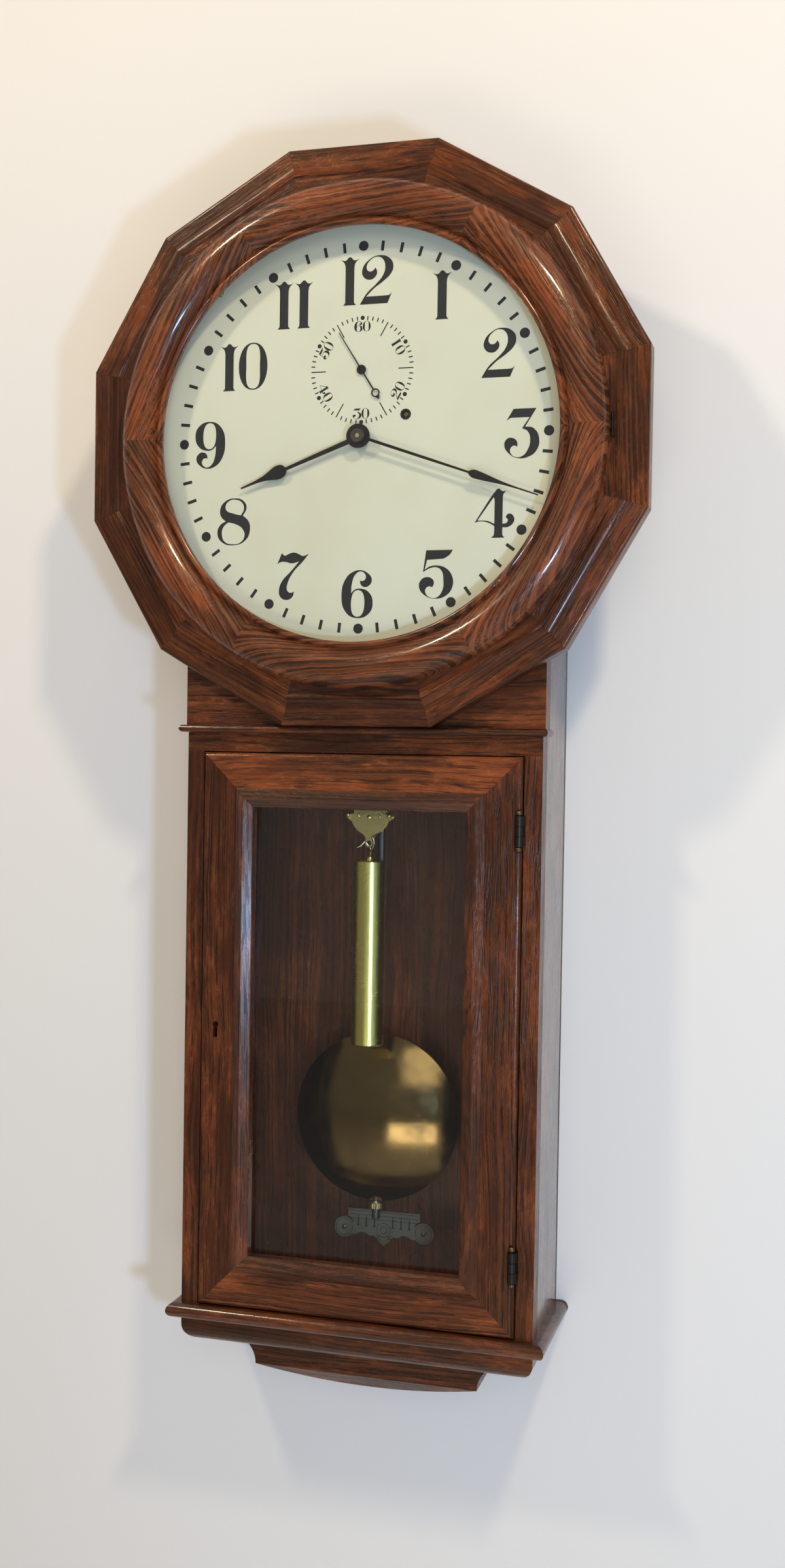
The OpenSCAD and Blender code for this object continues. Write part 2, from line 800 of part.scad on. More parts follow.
// Slim hinge in the shadow gap beside the ring. The pin is part of the fixed half.
module bezel_hinge_fixed() {
    third = bezel_hinge_h / 3;
    outer = third * 1.5;
    color(bronze) upright() {
        bezel_knuckles([[-outer, -third / 2 - 0.15], [third / 2 + 0.15, outer]]);
        at(bezel_hinge_x, 0, bezel_hinge_z) post(-outer, outer, 0.5);
        for (s = [[-outer, -third / 2 - 0.15], [third / 2 + 0.15, outer]])
            box_at(bezel_hinge_x + 0.2, bezel_hinge_x + 1.8, s[0], s[1], ledge_z,
                ledge_z + 1);
    }
}

// Trunk door

// Section of the door's frame, with X outwards from the glazing rebate.
module door_section() {
    translate([0, door_back]) square([stile_w - door_edge_r, door_t]);
    translate([0, door_back]) square([stile_w, door_t - door_edge_r]);
    translate([stile_w - door_edge_r, door_front - door_edge_r]) circle(door_edge_r);
}

// One length of the door's frame, mitred at both ends, that lies along X at the top.
module door_length(across, along) {
    at(0, across / 2 - stile_w)
        mitred(along / 2 - stile_w - joint / 2, stile_w, 45, door_back, door_front + 1)
            door_section();
}

module door_stiles() {
    color(oak) upright() at(0, door_mid_y) {
        difference() {
            rotate(90) door_length(door_w, door_h);
            lock_mortise();
            at(key_x, key_y - door_mid_y) keyhole(door_back, door_front + 1);
        }
        difference() {
            rotate(-90) door_length(door_w, door_h);
            for (y = hinge_ys) at(0, y - door_mid_y) {
                box_at(door_w / 2 - hinge_leaf_t - 0.05, door_w / 2 + 1, -hinge_h / 2 - 0.1,
                    hinge_h / 2 + 0.1, hinge_leaf_z, door_front + 1);
                at(hinge_x, 0, hinge_z) post(-hinge_h / 2 - hinge_ball_d,
                    hinge_h / 2 + hinge_ball_d, hinge_d / 2 + seat);
            }
        }
    }
}

module keyhole(z0, z1) {
    rod(z0, z1, key_r);
    box_at(-key_slot / 2, key_slot / 2, -key_drop, 0, z0, z1);
}

module door_rails() {
    color(oak) upright() at(0, door_mid_y) for (s = [0, 1]) mirror([0, s])
        door_length(door_h, door_w);
}

// Section of the glazing moulding, with X from the sight edge outwards. One facet rises
// from a small step to the ridge, and a slope falls from there to the sight edge.
module mould_section() {
    face = door_front + 0.02;
    ridge_x = mould_w - mould_facet;
    ridge_z = face + mould_h;
    lip_z = glass_back + door_glass_t + 0.15;
    polygon([[0, lip_z], [mould_lip - 0.1, lip_z], [mould_lip - 0.1, face], [mould_w, face],
        [mould_w, face + mould_step], [ridge_x + mould_break, ridge_z],
        [ridge_x - mould_break, ridge_z], [mould_break, ridge_z - mould_fall],
        [0, ridge_z - mould_fall - mould_break]]);
}

module door_moulding() {
    top = door_front + mould_h + 2;
    color(oak) upright() at(0, door_mid_y) {
        for (s = [0, 1]) mirror([0, s]) translate([0, sight_h / 2, 0])
            mitred(sight_half - 0.03, mould_w, 45, door_back, top) mould_section();
        for (a = [90, -90]) rotate(a) translate([0, sight_half, 0])
            mitred(sight_h / 2 - 0.03, mould_w, 45, door_back, top) mould_section();
    }
}

module door_glass() {
    w = 2 * (sight_half + mould_lip - 0.5);
    h = sight_h + 2 * (mould_lip - 0.5);
    color(glass) upright() at(0, door_mid_y, glass_back) linear_extrude(door_glass_t)
        square([w, h], center = true);
}

bolt_z = door_back + 7;
lock_w = 20;
lock_h = 34;
lock_t = 9;

// Pocket in the stile for the lock, open at the stile's back and outer edge.
module lock_mortise() {
    at(0, key_y - door_mid_y)
        box_at(-door_w / 2 - 1, -door_w / 2 + lock_w + 0.2, -lock_h / 2 - 0.2, lock_h / 2 + 0.2,
            door_back - 1, door_back + lock_t + 0.2 + 2.5);
}

module door_lock() {
    x0 = -door_w / 2 + 0.1;
    color(brass) upright() at(0, key_y, 0) difference() {
        box_at(x0, x0 + lock_w, -lock_h / 2, lock_h / 2, bolt_z - lock_t / 2 - 2.3,
            bolt_z + lock_t / 2);
        box_at(x0 - 1, x0 + 15.2, -5.15, 5.15, bolt_z - 2.15, bolt_z + 2.15);
        at(key_x, 0) keyhole(bolt_z + 2, door_front + 1);
    }
}

module lock_bolt() {
    x0 = -door_w / 2 + 0.1;
    color(brass) upright() at(0, key_y, 0)
        box_at(x0, x0 + 14, -5, 5, bolt_z - 2, bolt_z + 2);
}

module door_hinge_leaves() {
    leaf_x = door_w / 2;
    color(bronze) upright() for (y = hinge_ys) at(0, y) difference() {
        union() {
            knuckles([1]);
            box_at(leaf_x - hinge_leaf_t, leaf_x, -hinge_h / 2, hinge_h / 2, hinge_leaf_z,
                trunk_d);
            box_at(leaf_x - hinge_leaf_t, leaf_x, knuckle(1)[0], knuckle(1)[1],
                hinge_leaf_z, hinge_z);
        }
        pin_bore();
    }
}

// Bezel

// The ring's round is an arc that meets the ledge at the outer edge and the lip inside.
module bezel_ring() {
    inner = sight_r + lip_d - 0.4;
    half = (bezel_r - inner) / 2;
    arc_r = (half * half + bezel_h * bezel_h) / (2 * bezel_h);
    mid = (bezel_r + inner) / 2;
    lip_low = bezel_back + rebate_h;
    lip_z = lip_low + lip_d / 2 + 0.6;
    color(oak) upright() difference() {
        rotate_extrude($fn = fine) {
            intersection() {
                translate([mid, bezel_back + bezel_h - arc_r]) circle(arc_r);
                translate([rebate_r, bezel_back]) square([bezel_r - rebate_r, bezel_h + 1]);
            }
            intersection() {
                translate([mid, bezel_back + bezel_h - arc_r]) circle(arc_r);
                translate([inner, lip_low]) square([20, bezel_h]);
            }
            translate([sight_r + 0.5, lip_low])
                square([rebate_r - sight_r + 2, lip_z - lip_low]);
            translate([sight_r + lip_d / 2, lip_z]) circle(lip_d / 2, $fn = 48);
        }
        bezel_leaf(0.05);
    }
}

// Leaf of the moving half, let into the ring's outer edge.
module bezel_leaf(slack) {
    half = bezel_hinge_h / 6 + slack;
    box_at(bezel_r - 3 - slack, bezel_hinge_x, -half, half, bezel_hinge_z - 0.5 - slack,
        bezel_hinge_z + 0.5 + slack);
}

module bezel_glass() {
    color(glass) upright() rod(glass_z, glass_z + bezel_glass_t, rebate_r - 0.4, $fn = fine);
}

module bezel_hinge_moving() {
    third = bezel_hinge_h / 3;
    color(bronze) upright() {
        difference() {
            union() {
                bezel_knuckles([[-third / 2, third / 2]]);
                bezel_leaf(0);
            }
            at(bezel_hinge_x, 0, bezel_hinge_z) post(-third, third, 0.55);
        }
    }
}

// Movement frame

cheek_x = 47;
cheek_t = 6;
plate_top = pallet_y + 14;
plate_low = -50;
foot_plate_t = 4;

module movement_bracket() {
    mid_y = (plate_top + plate_low) / 2;
    foot_z = back_t + foot_plate_t;
    color([0.16, 0.16, 0.16]) upright() {
        at(0, mid_y + 4) difference() {
            slab(back_t, foot_plate_t) rounded_rect(104, plate_top - plate_low + 8, 9);
            slab(back_t - 1, foot_plate_t + 2) rounded_rect(64, plate_top - plate_low - 52, 8);
        }
        for (sx = [-1, 1]) at(sx * cheek_x, 0) {
            box_at(-cheek_t / 2, cheek_t / 2, plate_low + 14, plate_top - 18, foot_z - eps,
                rear_plate_z);
            for (y = [plate_low + 18, plate_top - 26]) at(0, y) rod(foot_z - eps, rear_plate_z, 6);
        }
    }
}

module plate_outline() {
    mid_y = (plate_top + plate_low) / 2;
    translate([0, mid_y]) rounded_rect(2 * plate_half, plate_top - plate_low, 8);
}

pillar_r = 4;
pillar_spots = [[-plate_half + 8, plate_low + 8], [plate_half - 8, plate_low + 8],
    [-plate_half + 8, plate_top - 8], [plate_half - 8, plate_top - 8]];

module plate_holes(z) {
    for (p = pillar_spots) at(p[0], p[1]) rod(z - 1, z + plate_t + 1, pillar_r - 1.5 + run_gap);
    at(third_x, third_y) rod(z - 1, z + plate_t + 1, pivot_r + run_gap);
    at(0, pallet_y) rod(z - 1, z + plate_t + 1, pivot_r + run_gap);
    at(0, escape_rise) rod(z - 1, z + plate_t + 1, pivot_r + run_gap);
}

module back_plate() {
    color(brass) upright() difference() {
        slab(rear_plate_z, plate_t) plate_outline();
        plate_holes(rear_plate_z);
        rod(rear_plate_z - 1, rear_in + 1, pivot_r + run_gap);
        at(wind_x, wind_y) rod(rear_plate_z - 1, rear_in + 1, 2 + run_gap);
    }
}

module front_plate() {
    color(brass) upright() {
        difference() {
            slab(front_plate_z, plate_t) plate_outline();
            plate_holes(front_plate_z);
            rod(front_plate_z - 1, front_out + 1, 2.5 + run_gap);
            at(wind_x, wind_y) rod(front_plate_z - 1, front_out + 1, 3 + run_gap);
        }
        at(minute_x, minute_y) rod(front_out - eps, minute_z + 5.5, 1.2);
        at(-fall_x, anchor_y) {
            rod(weight_z - 2, front_plate_z + eps, anchor_r);
            rod(weight_z - 2.6, weight_z - 1.6, anchor_r + 0.7);
        }
    }
}

module plate_pillars() {
    color(brass) upright() for (p = pillar_spots) at(p[0], p[1]) {
        rod(rear_in, front_plate_z, pillar_r);
        rod(rear_plate_z - 1.2, front_out + 1.2, pillar_r - 1.5);
        rod(rear_plate_z - 1.8, rear_plate_z, pillar_r - 0.3);
        rod(front_out, front_out + 1.8, pillar_r - 0.3);
    }
}

cock_slot = 1.6;
cock_slot_back = 5;
cock_nose = 5.5;

// Cock on the bracket with a slot in its nose, where the suspension spring hangs.
module suspension_cock() {
    foot_z = back_t + foot_plate_t;
    low = suspend_y + 3.5;
    color(brass) upright() difference() {
        union() {
            box_at(-9, 9, low, low + 16, foot_z, foot_z + 5);
            box_at(-5, 5, low, low + 9, foot_z, pend_z + cock_nose);
        }
        box_at(-cock_slot / 2, cock_slot / 2, low - 1, low + 7, pend_z - cock_slot_back,
            pend_z + cock_nose + 1);
    }
}

// Going train

great_hub_r = 19;
drum_arbor_r = 3;
ratchet_n = 24;
ratchet_r = 11;
click_at = 60;
click_pivot_r = 16.6;
click_pin = [click_pivot_r * cos(click_at), click_pivot_r * sin(click_at)];

module great_wheel() {
    color(brass) upright() at(wind_x, wind_y) {
        difference() {
            slab(great_z, great_t) spoked_wheel(great_n, great_m, great_phase, great_hub_r, 6, 4);
            rod(great_z - 1, great_z + great_t + 1, drum_arbor_r + run_gap);
        }
        at(click_pin[0], click_pin[1]) rod(ratchet_z - 0.6, great_z + eps, 1);
    }
}

// Pawl carried on the great wheel, shown just lifted clear of the ratchet.
module click() {
    tip = [ratchet_r - 1.3, -5.9];
    color(steel) upright() at(wind_x, wind_y) rotate(click_at) difference() {
        union() {
            at(click_pivot_r, 0) rod(ratchet_z, ratchet_z + ratchet_t - 0.1, 2.6);
            slab(ratchet_z, ratchet_t - 0.1) polygon([[click_pivot_r + 1.9, -1.3],
                [tip[0] + 1.6, tip[1] - 0.9], tip, [click_pivot_r - 1.9, -1.3]]);
        }
        at(click_pivot_r, 0) rod(ratchet_z - 1, great_z + 1, 1 + run_gap);
    }
}

function ratchet_points() = [for (i = [0:ratchet_n - 1]) let (c = i * 360 / ratchet_n)
    each [[ratchet_r, c - 1], [ratchet_r - 1.6, c]]];

module winding_drum() {
    turns = ceil(2 * (travel_up + travel_down) / (2 * PI * (drum_r + line_r)));
    color(brass) upright() at(wind_x, wind_y) difference() {
        union() {
            rotate_extrude() difference() {
                translate([0, drum_z0]) square([drum_r, ratchet_z - drum_z0]);
                for (k = [0:turns - 1]) translate([drum_r, drum_z0 + 2.4 + k * 1.5])
                    circle(line_r + 0.05, $fn = 24);
            }
            rod(drum_z0, drum_z0 + 1.2, drum_r + 2.6);
            slab(ratchet_z, ratchet_t) polygon(polar(ratchet_points()));
            rod(rear_plate_z - 0.8, front_out + 1, 2);
            rod(rear_in + 0.4, front_out + 3.5, drum_arbor_r);
            rod(front_out + 3, dial_back - 0.3, 1.9);
            rod(front_out + 3, dial_front - 0.6, grommet_r - 0.5, $fn = 4);
        }
    }
}

module pinion(n, m, phase, z0, len) {
    slab(z0, len) pinion_teeth(n, m, phase);
}

module centre_wheel() {
    color(brass) upright() {
        slab(centre_z, wheel_t) spoked_wheel(centre_n, centre_m, centre_phase, 6, 5, 2.6);
        rod(rear_plate_z - 0.6, centre_z, pivot_r);
        rod(centre_z, great_z, 2);
        pinion(centre_pinion_n, great_m, centre_phase, great_z - 0.8, great_t + 1.6);
        rod(great_z + great_t, front_out + 2, 2.2);
        rod(front_out, nut_top - 0.4, 1.4);
    }
}

module cannon_pinion() {
    color(steel) upright() difference() {
        union() {
            rod(front_out + 2.1, minute_hand_z - 0.4, 2.6);
            pinion(cannon_n, cannon_m, centre_phase, cannon_z, 3);
        }
        rod(front_out + 1, minute_hand_z + 1, 1.45);
    }
}

module third_wheel() {
    color(brass) upright() at(third_x, third_y) {
        slab(third_z, wheel_t) spoked_wheel(third_n, third_m, third_phase, 5, 5, 2.4);
        rod(rear_plate_z - 0.6, front_out + 0.6, pivot_r);
        rod(rear_in + arbor_gap, front_plate_z - arbor_gap, 2);
        pinion(third_pinion_n, centre_m, third_phase, centre_z - 1, pinion_z_len);
    }
}

// Escape teeth lean into their clockwise motion and fall away behind.
module escape_wheel() {
    depth = 3.2;
    teeth = [for (i = [0:escape_n - 1]) let (c = escape_phase + i * 360 / escape_n)
        each [[escape_r - depth, c + 1.3], [escape_r, c - 0.3], [escape_r, c + 0.25],
            [escape_r - depth, c + 2.7]]];
    color(brass) upright() at(0, escape_rise) {
        slab(escape_z, wheel_t) difference() {
            polygon(polar(teeth));
            crossings(escape_r - depth - 1.6, 3.6, 5, 1.6);
        }
        rod(rear_plate_z - 0.6, front_out + 0.6, pivot_r);
        rod(rear_in + arbor_gap, front_plate_z - arbor_gap, 1.9);
        pinion(escape_pinion_n, third_m, escape_pin_phase, third_z - 1, pinion_z_len);
        rod(front_out, seconds_hand_z - 0.1, 1.2);
    }
}

pallet_bearing = 90 - pallet_span;

// Nib between two radii about the pallet arbor, with a sloped impulse face.
function nib_points(side) =
    let (lock = nib_lock / pallet_arm * 180 / PI, a = pallet_bearing - lock, slant = 1.4,
        outer = pallet_arm + nib_w / 2, inner = pallet_arm - nib_w / 2,
        first = side < 0 ? 0 : slant, last = side < 0 ? slant : 0)
    concat([for (t = [0:4]) [outer, a + first + t * (10.5 - first) / 4]],
        [for (t = [4:-1:0]) [inner, a + last + t * (10.5 - last) / 4]]);

module pallets() {
    shoulder = pallet_bearing + 10;
    color(steel) upright() at(0, pallet_y) {
        slab(escape_z - 0.5, 2.5) {
            circle(4.2);
            for (side = [-1, 1]) {
                polygon([for (q = nib_points(side))
                    [side * q[0] * sin(q[1]), -q[0] * cos(q[1])]]);
                polygon([[side * 1, 4], [side * (pallet_arm + 1.4) * sin(shoulder + 6),
                    -(pallet_arm + 1.4) * cos(shoulder + 6)],
                    [side * (pallet_arm + 0.4) * sin(shoulder - 2.4),
                    -(pallet_arm + 0.4) * cos(shoulder - 2.4)],
                    [side * (pallet_arm - 1.4) * sin(shoulder - 1),
                    -(pallet_arm - 1.4) * cos(shoulder - 1)], [side * 1.5, -3.4]]);
            }
        }
        rod(crutch_z - 0.2, front_out + 0.6, pivot_r);
        rod(rear_in + arbor_gap, front_plate_z - arbor_gap, 2);
    }
}

crutch_z = rear_plate_z - 5;
crutch_len = 47;

// Crutch behind the rear plate, with a fork round the rod.
module crutch() {
    fork_gap = rod_d / 2 + 0.15;
    color(steel) upright() at(0, pallet_y) {
        difference() {
            union() {
                rod(crutch_z, crutch_z + 3, 4);
                box_at(-1.6, 1.6, -crutch_len, -2, crutch_z, crutch_z + 1.6);
                box_at(-fork_gap - 1.6, fork_gap + 1.6, -crutch_len - 4, -crutch_len + 1,
                    crutch_z, crutch_z + 1.6);
                for (sx = [-1, 1]) at(sx * (fork_gap + 0.8), -crutch_len - 1.5)
                    rod(pend_z - 4, crutch_z + eps, 0.8);
            }
            rod(crutch_z - 1, crutch_z + 4, pivot_r + 0.01);
        }
    }
}

// Motion work and hands

module minute_wheel() {
    color(brass) upright() at(minute_x, minute_y) difference() {
        union() {
            slab(minute_z, wheel_t) wheel_teeth(minute_n, cannon_m, minute_phase);
            pinion(minute_pinion_n, hour_m, minute_phase, minute_z, 4.9);
        }
        rod(minute_z - 1, minute_z + 6, 1.2 + run_gap);
    }
}

module hour_wheel() {
    color(brass) upright() difference() {
        union() {
            slab(hour_z, wheel_t) wheel_teeth(hour_n, hour_m, hour_phase);
            rod(hour_z, hour_hand_z + hand_t + 0.4, hour_pipe_r - 1);
        }
        rod(hour_z - 1, hour_hand_z + 3, 2.6 + run_gap);
    }
}

// Slender hand with a leaf near its tip, as a half outline that is mirrored.
module hand_shape(list, hub) {
    polygon(concat([for (p = list) [p[0], p[1]]], [for (i = [len(list) - 1:-1:0])
        [-list[i][0], list[i][1]]]));
    circle(hub);
}

// Outline given as shares of the leaf's half width and of the hand's length.
function shares(list, leaf, reach) = [for (p = list) [p[0] * leaf, p[1] * reach]];
minute_shares = [[0.36, 0], [0.32, 0.41], [0.24, 0.62], [0.7, 0.632], [0.95, 0.645], [1, 0.658],
    [0.93, 0.68], [0.76, 0.72], [0.5, 0.77], [0.3, 0.82], [0.18, 0.89], [0.15, 1]];
hour_shares = [[0.37, 0], [0.3, 0.35], [0.22, 0.615], [0.7, 0.63], [0.92, 0.65], [1, 0.68],
    [0.93, 0.71], [0.66, 0.75], [0.38, 0.8], [0.2, 0.87], [0.1, 1]];
minute_hub_r = 8.4;
minute_boss_r = 6.4;
hour_hub_r = 7.6;
nut_r = 4.6;
nut_rim = 1.4;
nut_dish = 0.6;

minute_angle = -6 * shown_min;
hour_angle = -30 * shown_hour - shown_min / 2;
second_angle = -6 * shown_sec;

module minute_hand() {
    color(black_steel) upright() rotate(minute_angle) difference() {
        union() {
            slab(minute_hand_z, hand_t)
                hand_shape(shares(minute_shares, minute_leaf, minute_len), minute_hub_r);
            rod(minute_hand_z, minute_hand_z + 1.5, minute_boss_r);
        }
        rod(minute_hand_z - 1, minute_hand_z + 3, 1.45);
    }
}

module hour_hand() {
    color(black_steel) upright() rotate(hour_angle) difference() {
        slab(hour_hand_z, hand_t)
            hand_shape(shares(hour_shares, hour_leaf, hour_len), hour_hub_r);
        rod(hour_hand_z - 1, hour_hand_z + 3, hour_pipe_r - 1 + 0.01);
    }
}

module hand_nut() {
    color("silver") upright() difference() {
        union() {
            rod(minute_hand_z + 1.52, minute_hand_z + 2, nut_r + 0.3);
            rod(minute_hand_z + 1.9, nut_top, nut_r);
        }
        rod(minute_hand_z, nut_top + 1, 1.45);
        rod(nut_top - nut_dish, nut_top + 1, nut_r - nut_rim);
    }
}

module seconds_hand() {
    tail = 19.4;
    ring_r = 3;
    color(black_steel) upright() at(0, escape_rise) rotate(second_angle) difference() {
        union() {
            slab(seconds_hand_z, 0.6)
                hand_shape([[0.45, -tail + ring_r - 0.4], [0.45, 0], [0.25, second_len]], 3.3);
            at(0, -tail) rod(seconds_hand_z, seconds_hand_z + 0.6, ring_r);
            slab(seconds_hand_z, 0.6) polygon([[-1.8, -tail - 2.3], [1.8, -tail - 2.3],
                [0.2, -tail - 5], [-0.2, -tail - 5]]);
        }
        at(0, -tail) rod(seconds_hand_z - 1, seconds_hand_z + 2, ring_r - 0.85);
    }
}

// Pendulum

module suspension_spring() {
    color(steel) upright()
        box_at(-0.15, 0.15, suspend_y - 8, suspend_y + 9.5, pend_z - 4, pend_z + 4);
}

module pendulum_rod() {
    block_x = rod_d * 0.57;
    block_z = rod_d * 0.83;
    color(steel) upright() at(0, 0, pend_z) difference() {
        union() {
            post(rod_foot, suspend_y - 5, rod_d / 2);
            box_at(-block_x, block_x, suspend_y - 12, suspend_y - 3.5, -block_z, block_z);
        }
        box_at(-0.16, 0.16, suspend_y - 8.01, suspend_y, -4.01, 4.01);
    }
}

// Lens of two spherical caps on a short rim, bored for the rod.
module bob() {
    r = bob_d / 2;
    cap_h = (bob_t - bob_rim) / 2;
    cap = (r * r + cap_h * cap_h) / (2 * cap_h);
    color(brass) upright() at(0, bob_y, pend_z) difference() {
        rotate_extrude($fn = fine) intersection() {
            translate([0, -cap + bob_t / 2]) circle(cap, $fn = fine);
            translate([0, cap - bob_t / 2]) circle(cap, $fn = fine);
            translate([0, -bob_t / 2]) square([r, bob_t]);
        }
        post(-r - 1, r + 1, rod_d / 2 + run_gap);
    }
}

// Knurled nut under the bob.
module rating_nut() {
    low = bob_y - bob_d / 2 - 5.6;
    color(brass) upright() at(0, 0, pend_z) difference() {
        union() {
            rotate([90, 0, 0]) translate([0, 0, -low - 4]) linear_extrude(4)
                polygon(polar([for (i = [0:47]) [5.6 - 0.25 * (i % 2), i * 7.5]]));
            post(low + 3.9, low + 5.3, 3.9);
        }
        post(low - 1, low + 7, rod_d / 2 + run_gap);
    }
}

// Weight and pulley

collar_h = 2.2;
weight_edge = 0.8;
ear_x = 15;
rivet_x = 7.8;
eye_drop = 18.7;
eye_r = 1.9;
eye_rim = 1;

module weight() {
    r = weight_d / 2;
    low = weight_top - weight_len;
    color(brass) upright() at(0, 0, weight_z) {
        rotate([-90, 0, 0]) translate([0, 0, low]) rotate_extrude()
            polygon([[0, 0], [r - weight_edge, 0], [r, weight_edge], [r, weight_len - weight_edge],
                [r - weight_edge, weight_len], [0, weight_len]]);
        post(weight_top - eps, weight_top + collar_h, 2.5);
    }
}

plate_gap = 5;
shield_t = 1;
sheave_t = 4;
pulley_pin_r = 1.3;

// Shield outline: two ears, a tapering body, a neck and an eye below it.
module shield(eye) {
    half = [[ear_x, 1.8], [10.2, 2.4], [rivet_x + 1, 4.3], [rivet_x - 2.6, 4.9], [3.4, 4.2],
        [2, 5.4], [0, 6]];
    low = [[ear_x, -1.8], [13, -3.2], [11.2, -6.8], [8.6, -9.8], [5.6, -11.6], [3.6, -13],
        [2.4, -15], [2.4, -eye_drop]];
    difference() {
        union() {
            for (sx = [-1, 1]) {
                polygon([for (p = concat(half, [[0, -eye_drop]], [for (i = [len(low) - 1:-1:0])
                    low[i]])) [sx * (p[0] + (p[0] == 0 ? -0.01 : 0)), p[1]]]);
                translate([sx * ear_x, 0]) circle(1.8);
            }
            if (eye) translate([0, -eye_drop]) circle(eye_r + eye_rim, $fn = 48);
        }
        if (eye) translate([0, -eye_drop]) circle(eye_r, $fn = 48);
        if (!eye) translate([-5, -eye_drop - 5]) square([10, 7]);
    }
}

module pulley_plates() {
    out = plate_gap / 2 + shield_t;
    color(brass) upright() at(0, pulley_y, weight_z) {
        slab(plate_gap / 2, shield_t) shield(true);
        slab(-out, shield_t) shield(false);
        rod(-out - 0.7, out + 0.7, pulley_pin_r);
        for (sx = [-1, 1]) {
            at(sx * ear_x, 0) {
                rod(-out, out, 0.9);
                at(0, 0, out + 0.5) sphere(1.3, $fn = 32);
            }
            at(sx * rivet_x, 0.6, out - eps) scale_dome(1.2, 0.7);
        }
        at(0, 0, out + 0.6) scale_dome(1.5, 0.5);
        at(0, -15) rod(-plate_gap / 2 - eps, plate_gap / 2 + eps, 1.2);
    }
}

module pulley_sheave() {
    color(brass) upright() at(0, pulley_y, weight_z) rotate_extrude() difference() {
        translate([pulley_pin_r + run_gap, -sheave_t / 2])
            square([sheave_r - pulley_pin_r - run_gap, sheave_t]);
        translate([fall_x, 0]) circle(line_r + 0.05, $fn = 32);
        translate([fall_x, -line_r - 0.05]) square([2, line_d + 0.1]);
    }
}

// A run of wire through the listed points, as ten-sided lengths that overlap a little.
module wire(list, r) {
    lap = r * 0.4;
    for (i = [0:len(list) - 2]) {
        d = list[i + 1] - list[i];
        flat = norm([d[0], d[1]]);
        translate(list[i]) rotate([0, atan2(flat, d[2]), atan2(d[1], d[0])])
            translate([0, 0, -lap]) cylinder(h = norm(d) + 2 * lap, r = r, $fn = 10);
    }
}

// Wire hook: it passes through the eye with a turned-out tail, and has a ball-ended
// guard in front. Its shank stands on the collar of the weight.
module weight_hook() {
    rest = -eye_drop - eye_r + hook_r + 0.1;
    foot = weight_top + collar_h - pulley_y + 0.45;
    front = plate_gap / 2 + shield_t + 1.8;
    color(steel) upright() at(0, pulley_y, weight_z) {
        wire([[3.3, foot + 14, front], [4.4, foot + 12.2, front], [4.6, foot + 9.6, front],
            [3.2, foot + 6.6, front - 1.5], [1.2, foot + 4, 1.8], [0.5, foot, 0.3]],
            hook_r + 0.2);
        translate([3.3, foot + 14, front]) sphere(1.1, $fn = 32);
        wire([[1.2, foot + 4, 1.8], [0.2, rest, 0.9], [-0.2, rest, front - 0.7],
            [-1.3, rest + 1.6, front], [-2.5, rest + 2.4, front], [-5.2, rest - 0.6, front],
            [-7.6, rest - 1.8, front]], hook_r);
    }
}

hook_r = 0.5;

// Line

module fall(x0, x1, y0, y1) {
    len = norm([x1 - x0, y1 - y0]);
    translate([x0, y0, weight_z]) rotate([0, 0, -atan2(x1 - x0, y1 - y0)])
        rotate([-90, 0, 0]) cylinder(h = len, r = line_r, $fn = 24);
}

module weight_line() {
    color([0.85, 0.80, 0.68]) upright() {
        fall(-fall_x, -fall_x, pulley_y + joint, anchor_y - anchor_r);
        fall(fall_x, drum_fall_x, pulley_y + joint, wind_y);
    }
}

module line_bight() {
    color([0.85, 0.80, 0.68]) upright() at(0, pulley_y, weight_z) rotate(180)
        rotate_extrude(angle = 180) translate([fall_x, 0]) circle(line_r, $fn = 24);
}

backboard();
side_left();
side_right();
top_board();
head_panel();
trunk_face_frame();
bead_moulding();
frame_segments();
base_board();
base_ovolo();
base_drop();
hanger_plate();
wood_screws();
dial_ring();
dial_plate();
winding_grommet();
beat_scale();
movement_bracket();
back_plate();
front_plate();
plate_pillars();
suspension_cock();
case_hinge_leaves();
hinge_pins();
bezel_hinge_fixed();
door_stiles();
door_rails();
door_moulding();
door_glass();
door_lock();
door_hinge_leaves();
lock_bolt();
bezel_ring();
bezel_glass();
bezel_hinge_moving();
great_wheel();
click();
winding_drum();
centre_wheel();
cannon_pinion();
minute_hand();
hand_nut();
third_wheel();
escape_wheel();
seconds_hand();
minute_wheel();
hour_wheel();
hour_hand();
pallets();
crutch();
suspension_spring();
pendulum_rod();
bob();
rating_nut();
weight();
pulley_plates();
pulley_sheave();
weight_hook();
weight_line();
line_bight();
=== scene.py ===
from math import cos, pi, radians, sin

import bmesh
import bpy
from mathutils import Matrix, Vector


